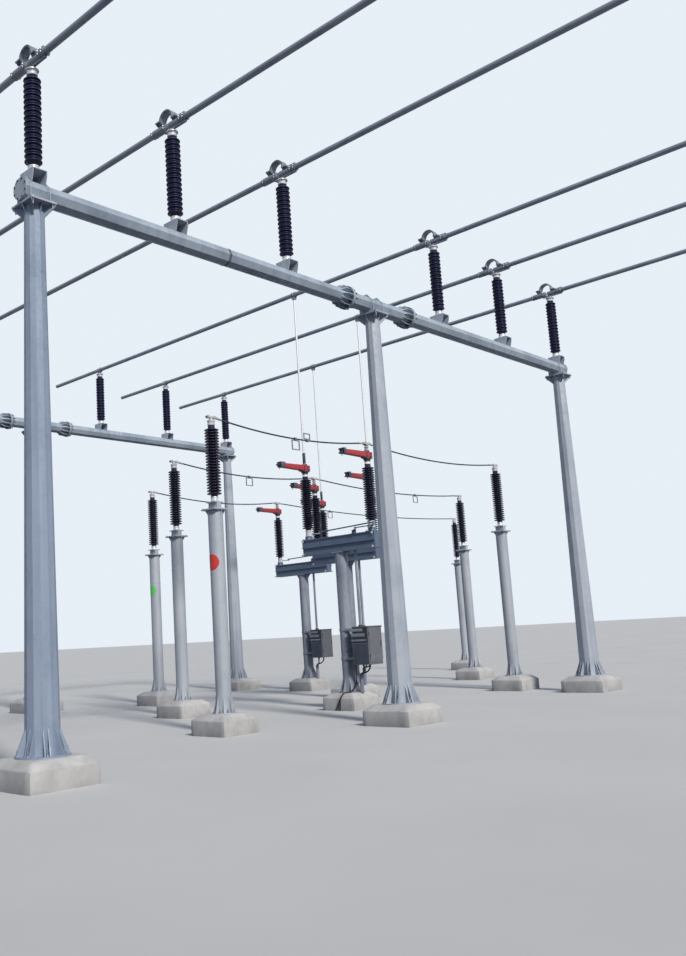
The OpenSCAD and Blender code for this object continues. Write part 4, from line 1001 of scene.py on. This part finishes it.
def arm_hood(tip):
    """Folded plate hood over the contact, its sides bolted through, with a guide hook under it."""
    start = tip - ARM_REACH + CONTACT_LAP
    shapes = [
        bar((start - 0.01, 0, ARM_MID + 0.070), (NOSE_X - 0.006, 0, ARM_MID + 0.066), 0.132, 0.009, 0.003),
        rod((NOSE_X + 0.02, 0, ARM_MID - 0.05), (NOSE_X + 0.005, 0, ARM_MID - 0.100), 0.009, 10)
    ]
    for y in (-0.062, 0.062):
        front, back = (start - 0.01, y, ARM_MID + 0.010), (NOSE_X + 0.012, y, ARM_MID + 0.006)
        shapes.append(bar(front, back, 0.008, 0.118, 0.003))
    places = [(start - share * (tip - NOSE_L), ARM_MID + 0.005) for share in (0.2, 0.6)]
    return joined(shapes + side_bolts(0.012, 0.066, places))


def arm_bolts():
    """Bolts through the arm's sides over its axis, and the keeper plate under it."""
    keeper = bar((0.11, 0, ARM_Z - 0.008), (-0.15, 0, ARM_Z - 0.008), 0.12, 0.018, 0.004)
    places = [(sx * 0.06, ARM_MID + sz * 0.03) for sx, sz in SIGNS]
    return joined([keeper] + side_bolts(0.014, ARM_W / 2, places))


for number in range(3):
    for side, axis, angle in (("near", NEAR_AXES[number], 225), ("far", FAR_AXES[number], -45)):
        body = f"pole_{number + 1}_{side}"
        tip = NEAR_TIP_L if side == "near" else CONTACT_L
        add_piece(f"{body}_porcelain", moved(turning_body, axis), DARK_GLAZE, body,
                  [f"{body}_insulator"], 50)
        # The fittings' pale zinc is partly painted light.
        add_piece(f"{body}_caps", moved(turning_fittings, axis), PALE_CAP_PAINTED_LIGHT, body)
        # The head clamp's near-black finish is painted shade under the arm.
        add_piece(f"{body}_head_clamp_painted_shade", moved(head_clamp_painted_shade, axis), DARK_BOLT, body)
        add_piece(f"{body}_crank", moved(crank(angle), axis), POLE_STEEL, body)
        add_piece(f"{body}_arm_box", moved(arm_box(tip), axis), ARM_RED, body, [f"{body}_arm"])
        contact = moved(arm_contact(side == "near", tip), axis)
        add_piece(f"{body}_contact", contact, CONTACT, body)
        add_piece(f"{body}_hood", moved(arm_hood(tip), axis), DARK_ZINC, body)
        add_piece(f"{body}_arm_bolts", moved(arm_bolts(), axis), DARK_BOLT, body)


# Base beams: bolts on the bearing feet, and on the left side near both ends

bearing_corners = [(sx * 0.095, sy * 0.080, BASE_TOP + 0.016) for sx, sy in SIGNS]
end_corners = [(-0.13, y, BASE_TOP - dz) for y in (-0.98, 0.98) for dz in (0.035, 0.33)]
add_piece("bearing_bolts", joined([
    stamped(hex_bolt(0.016), at_each(bearing_corners, np.concatenate([NEAR_AXES, FAR_AXES])), UP),
    stamped(hex_bolt(0.024), at_each(end_corners, POLE_AXES), (-1, 0, 0))
]), BRIGHT_CAP)


# Drive cabinets


def cabinet_parts():
    """Cabinet about the pole's axis: case with hood and door, dark sheets of painted shade on both sides,
    a black sheet of painted shade in the gap behind the bracket plates, plates with rails and straps,
    and the handle, shaft collar and hinges."""
    front = -(CABINET_BACK + CABINET_D)
    back = -CABINET_BACK
    y = (front + back) / 2
    z0 = BLOCK_H + CABINET_Z
    z1 = z0 + CABINET_H
    edge = CABINET_W / 2
    aside = (1, 0, 0)

    def upright(x, y_at, bottom, top, depth, width, r=0.004):
        return bar((x, y_at, bottom), (x, y_at, top), depth, width, r, 0.004, aside)

    shell = joined([
        upright(0, y, z0, z1 - 0.02, CABINET_D, CABINET_W, 0.012),
        upright(0, y - 0.008, z1 - 0.026, z1, CABINET_D + 0.012, CABINET_W + 0.03, 0.010),
        upright(0, front - 0.005, z0 + 0.04, z1 - 0.05, 0.012, CABINET_W - 0.05)
    ])
    # Painted shade: thin near-black sheets over both sides of the case stand for the shade on its sides.
    side = joined([
        upright(-edge - 0.002, y, z0 + 0.02, z1 - 0.36, CABINET_D - 0.03, 0.009),
        upright(edge + 0.002, y, z0 + 0.02, z1 - 0.05, CABINET_D - 0.03, 0.009)
    ])
    # Painted shade: a black sheet in the gap behind the bracket plates stands for the shade between them.
    painted_shade_gaps = upright(-edge - 0.002, y, z1 - 0.34, z1 - 0.035, CABINET_D - 0.03, 0.007)
    plates = []
    strips = ((0.080, 0.060, 0.09), (0.185, 0.070, 0.04), (0.295, 0.040, 0.0))
    for drop, tall, inset in strips:
        start = np.array([-edge - 0.006, front + 0.05 + inset, z1 - drop])
        plates.append(bar(start, (start[0], back + 0.02, start[2]), 0.016, tall, 0.004))
    fixings = [
        rod((edge - 0.055, front - 0.012, z0 + 0.36), (edge - 0.055, front - 0.012, z0 + 0.48), 0.009, 12),
        rod((0.0, -DRIVE_OFFSET, z1 - 0.004), (0.0, -DRIVE_OFFSET, z1 + 0.028), 0.052, 24, 0.004)
    ]
    for z in (z0 + 0.15, z0 + 0.60):
        hinge = np.array([0.02 - edge, front - 0.010, z])
        fixings.append(rod(hinge, hinge + [0, 0, 0.07], 0.010, 12))
    for z in (z0 + 0.13, z1 - 0.06):
        for x in (-0.12, 0.12):
            plates.append(bar((x, back - 0.005, z), (x, 0.0, z), 0.05, 0.06, 0.006))
        plates.append(band(POLE_R + 0.010, z - 0.03, 0.06))
    return shell, side, painted_shade_gaps, joined(plates), joined(fixings)


def smooth_path(points, count=60):
    """Catmull-Rom curve through the points: between b and c it is half of 2b + (c - a) t +
    (2a - 5b + 4c - d) t^2 + (3b - a - 3c + d) t^3."""
    points = np.asarray(points, float)
    held = np.concatenate([points[:1], points, points[-1:]])
    place = np.linspace(0, len(points) - 1 - 1e-6, count)
    i = place.astype(int)
    t = (place - i)[:, None]
    a, b, c, d = held[i], held[i + 1], held[i + 2], held[i + 3]
    cubic = (3 * b - a - 3 * c + d) * t ** 3
    return (2 * b + (c - a) * t + (2 * a - 5 * b + 4 * c - d) * t ** 2 + cubic) / 2


def hoses():
    """Three short hoses that run together from the case's floor into the conduit's mouth."""
    top = BLOCK_H + CABINET_Z + 0.005
    shapes = []
    for x, y, nudge in ((-0.11, -0.50, -0.016), (-0.03, -0.44, 0.0), (0.08, -0.52, 0.016)):
        path = smooth_path([
            (x, y, top), (x, y, top - 0.05), (x * 0.9, y + 0.02, top - 0.11),
            (x * 0.5, y * 0.6 - 0.15, top - 0.16), (nudge, CONDUIT_Y - 0.015, top - 0.20),
            (nudge, CONDUIT_Y, top - 0.26)
        ], 30)
        shapes.append(carried(path, round_section(0.016, 12), (1, 0, 0)))
        shapes.append(rod((x, y, top - 0.035), (x, y, top + 0.002), 0.024, 14))
    return joined(shapes)


# Cables that come down the column, cross its foot and go over the block into the ground. Points
# are (across the view, towards the camera, height) about the column's axis.

CABLE_HEAD = [(0.145, 0.07, 0.93), (0.15, 0.06, 0.80), (0.15, 0.08, 0.70), (0.13, 0.17, 0.56)]
CABLE_FOOT = [(0.06, 0.255, 0.44), (-0.05, 0.285, 0.372), (-0.16, 0.32, 0.362)]
CABLE_ENDS = [
    [(-0.225, 0.385, 0.292), (-0.262, 0.392, 0.20), (-0.270, 0.389, 0.012)],
    [(-0.235, 0.390, 0.296), (-0.300, 0.355, 0.14), (-0.350, 0.310, 0.012)]
]
CABLE_R = 0.012


def earth_cable(end):
    """Round cable along a smooth curve through its head, foot and end points."""
    across, ahead, z = np.array(CABLE_HEAD + CABLE_FOOT + end).T
    x = 0.701 * across - 0.71 * ahead
    y = -0.713 * across - 0.70 * ahead
    return carried(smooth_path(np.stack([x, y, z], -1)), round_section(CABLE_R, 12), (0.6, -0.8, 0.01))


shell, sides, painted_shade_gaps, rails, fixings = cabinet_parts()
conduit = rod((0.0, CONDUIT_Y, BLOCK_H - 0.004), (0.0, CONDUIT_Y, BLOCK_H + 0.37), 0.042, 24, 0.004)
add_piece("cabinet_shells", copies(shell, POLE_AXES), CABINET, "bay", ["drive_cabinets"])
for name, shape, finish, slot, smooth in (
    ("cabinet_sides_painted_shade", sides, CABINET_SIDE_PAINTED_SHADE, "cabinet_paint", 35),
    ("cabinet_gaps_painted_shade", painted_shade_gaps, RUBBER, "dark_steel", 35),
    ("cabinet_fixings", fixings, DARK_BOLT, "dark_steel", 35),
    ("cabinet_rails", rails, POLE_STEEL, "galvanised_steel", 35),
    ("cabinet_conduits", conduit, POLE_STEEL, "galvanised_steel", 35),
    ("cabinet_hoses", hoses(), RUBBER, "dark_steel", 60)
):
    add_piece(name, copies(shape, POLE_AXES), finish, smooth=smooth)
cables = joined([earth_cable(end) for end in CABLE_ENDS])
add_piece("earth_cables", copies(cables, POLE_AXES[:1]), RUBBER, smooth=60)


# Light, floor and background

FLOOR_HALF = 400.0


def lamp(name, direction, strength, width, tint):
    """Sun lamp from a direction, softened by its width in degrees."""
    data = bpy.data.lights.new(name, "SUN")
    data.energy = strength
    data.angle = np.radians(width)
    data.color = tint
    lamp_object = bpy.data.objects.new(name, data)
    back = np.asarray(direction, float) / np.linalg.norm(direction)
    side = np.cross([0, 0, 1], back)
    side /= np.linalg.norm(side)
    up = np.cross(back, side)
    lamp_object.matrix_world = Matrix(np.stack([side, up, back], 1).tolist()).to_4x4()
    bpy.context.scene.collection.objects.link(lamp_object)


def studio():
    """A soft key from the front, a weak fill from the front right, a pale world and a floor that
    looks pale but throws back little light."""
    lamp("key", (-0.358, -0.934, 0.72), 3.1, 8, (1.0, 0.955, 0.90))
    lamp("fill", (0.7, -0.7, 0.4), 0.25, 60, (0.85, 0.92, 1.0))
    world = bpy.data.worlds.new("pale_world")
    bpy.context.scene.world = world
    world.use_nodes = True
    w = Nodes(world.node_tree)
    light = w.fill(w.nodes["Background"], Color=(0.45, 0.65, 1.0, 1.0), Strength=0.26)
    backdrop = w.node("Background", Color=(0.80, 0.86, 0.93, 1.0), Strength=1.0)
    mix = w.node("MixShader", Fac=w.seen_rays())
    w.links.new(light.outputs[0], mix.inputs[1])
    w.links.new(backdrop.outputs[0], mix.inputs[2])
    w.fill(w.nodes["World Output"], Surface=mix.outputs[0])
    mesh = bpy.data.meshes.new("floor")
    corners = [(sx * FLOOR_HALF, sy * FLOOR_HALF, 0) for sx, sy in SIGNS]
    mesh.from_pydata(corners, [], [[0, 2, 3, 1]])
    floor = bpy.data.objects.new("floor", mesh)
    bpy.context.scene.collection.objects.link(floor)
    f = Finish("pale_floor")
    pale = f.ramp(f.noise(0.3), (0.3, (0.60, 0.59, 0.57)), (0.7, (0.64, 0.63, 0.61)))
    seen = f.mixed(f.seen_rays(), (0.045, 0.05, 0.07), pale)
    mesh.materials.append(f.done(Base_Color=seen, Roughness=0.9))


studio()
view = bpy.context.scene.view_settings
view.view_transform = "Standard"
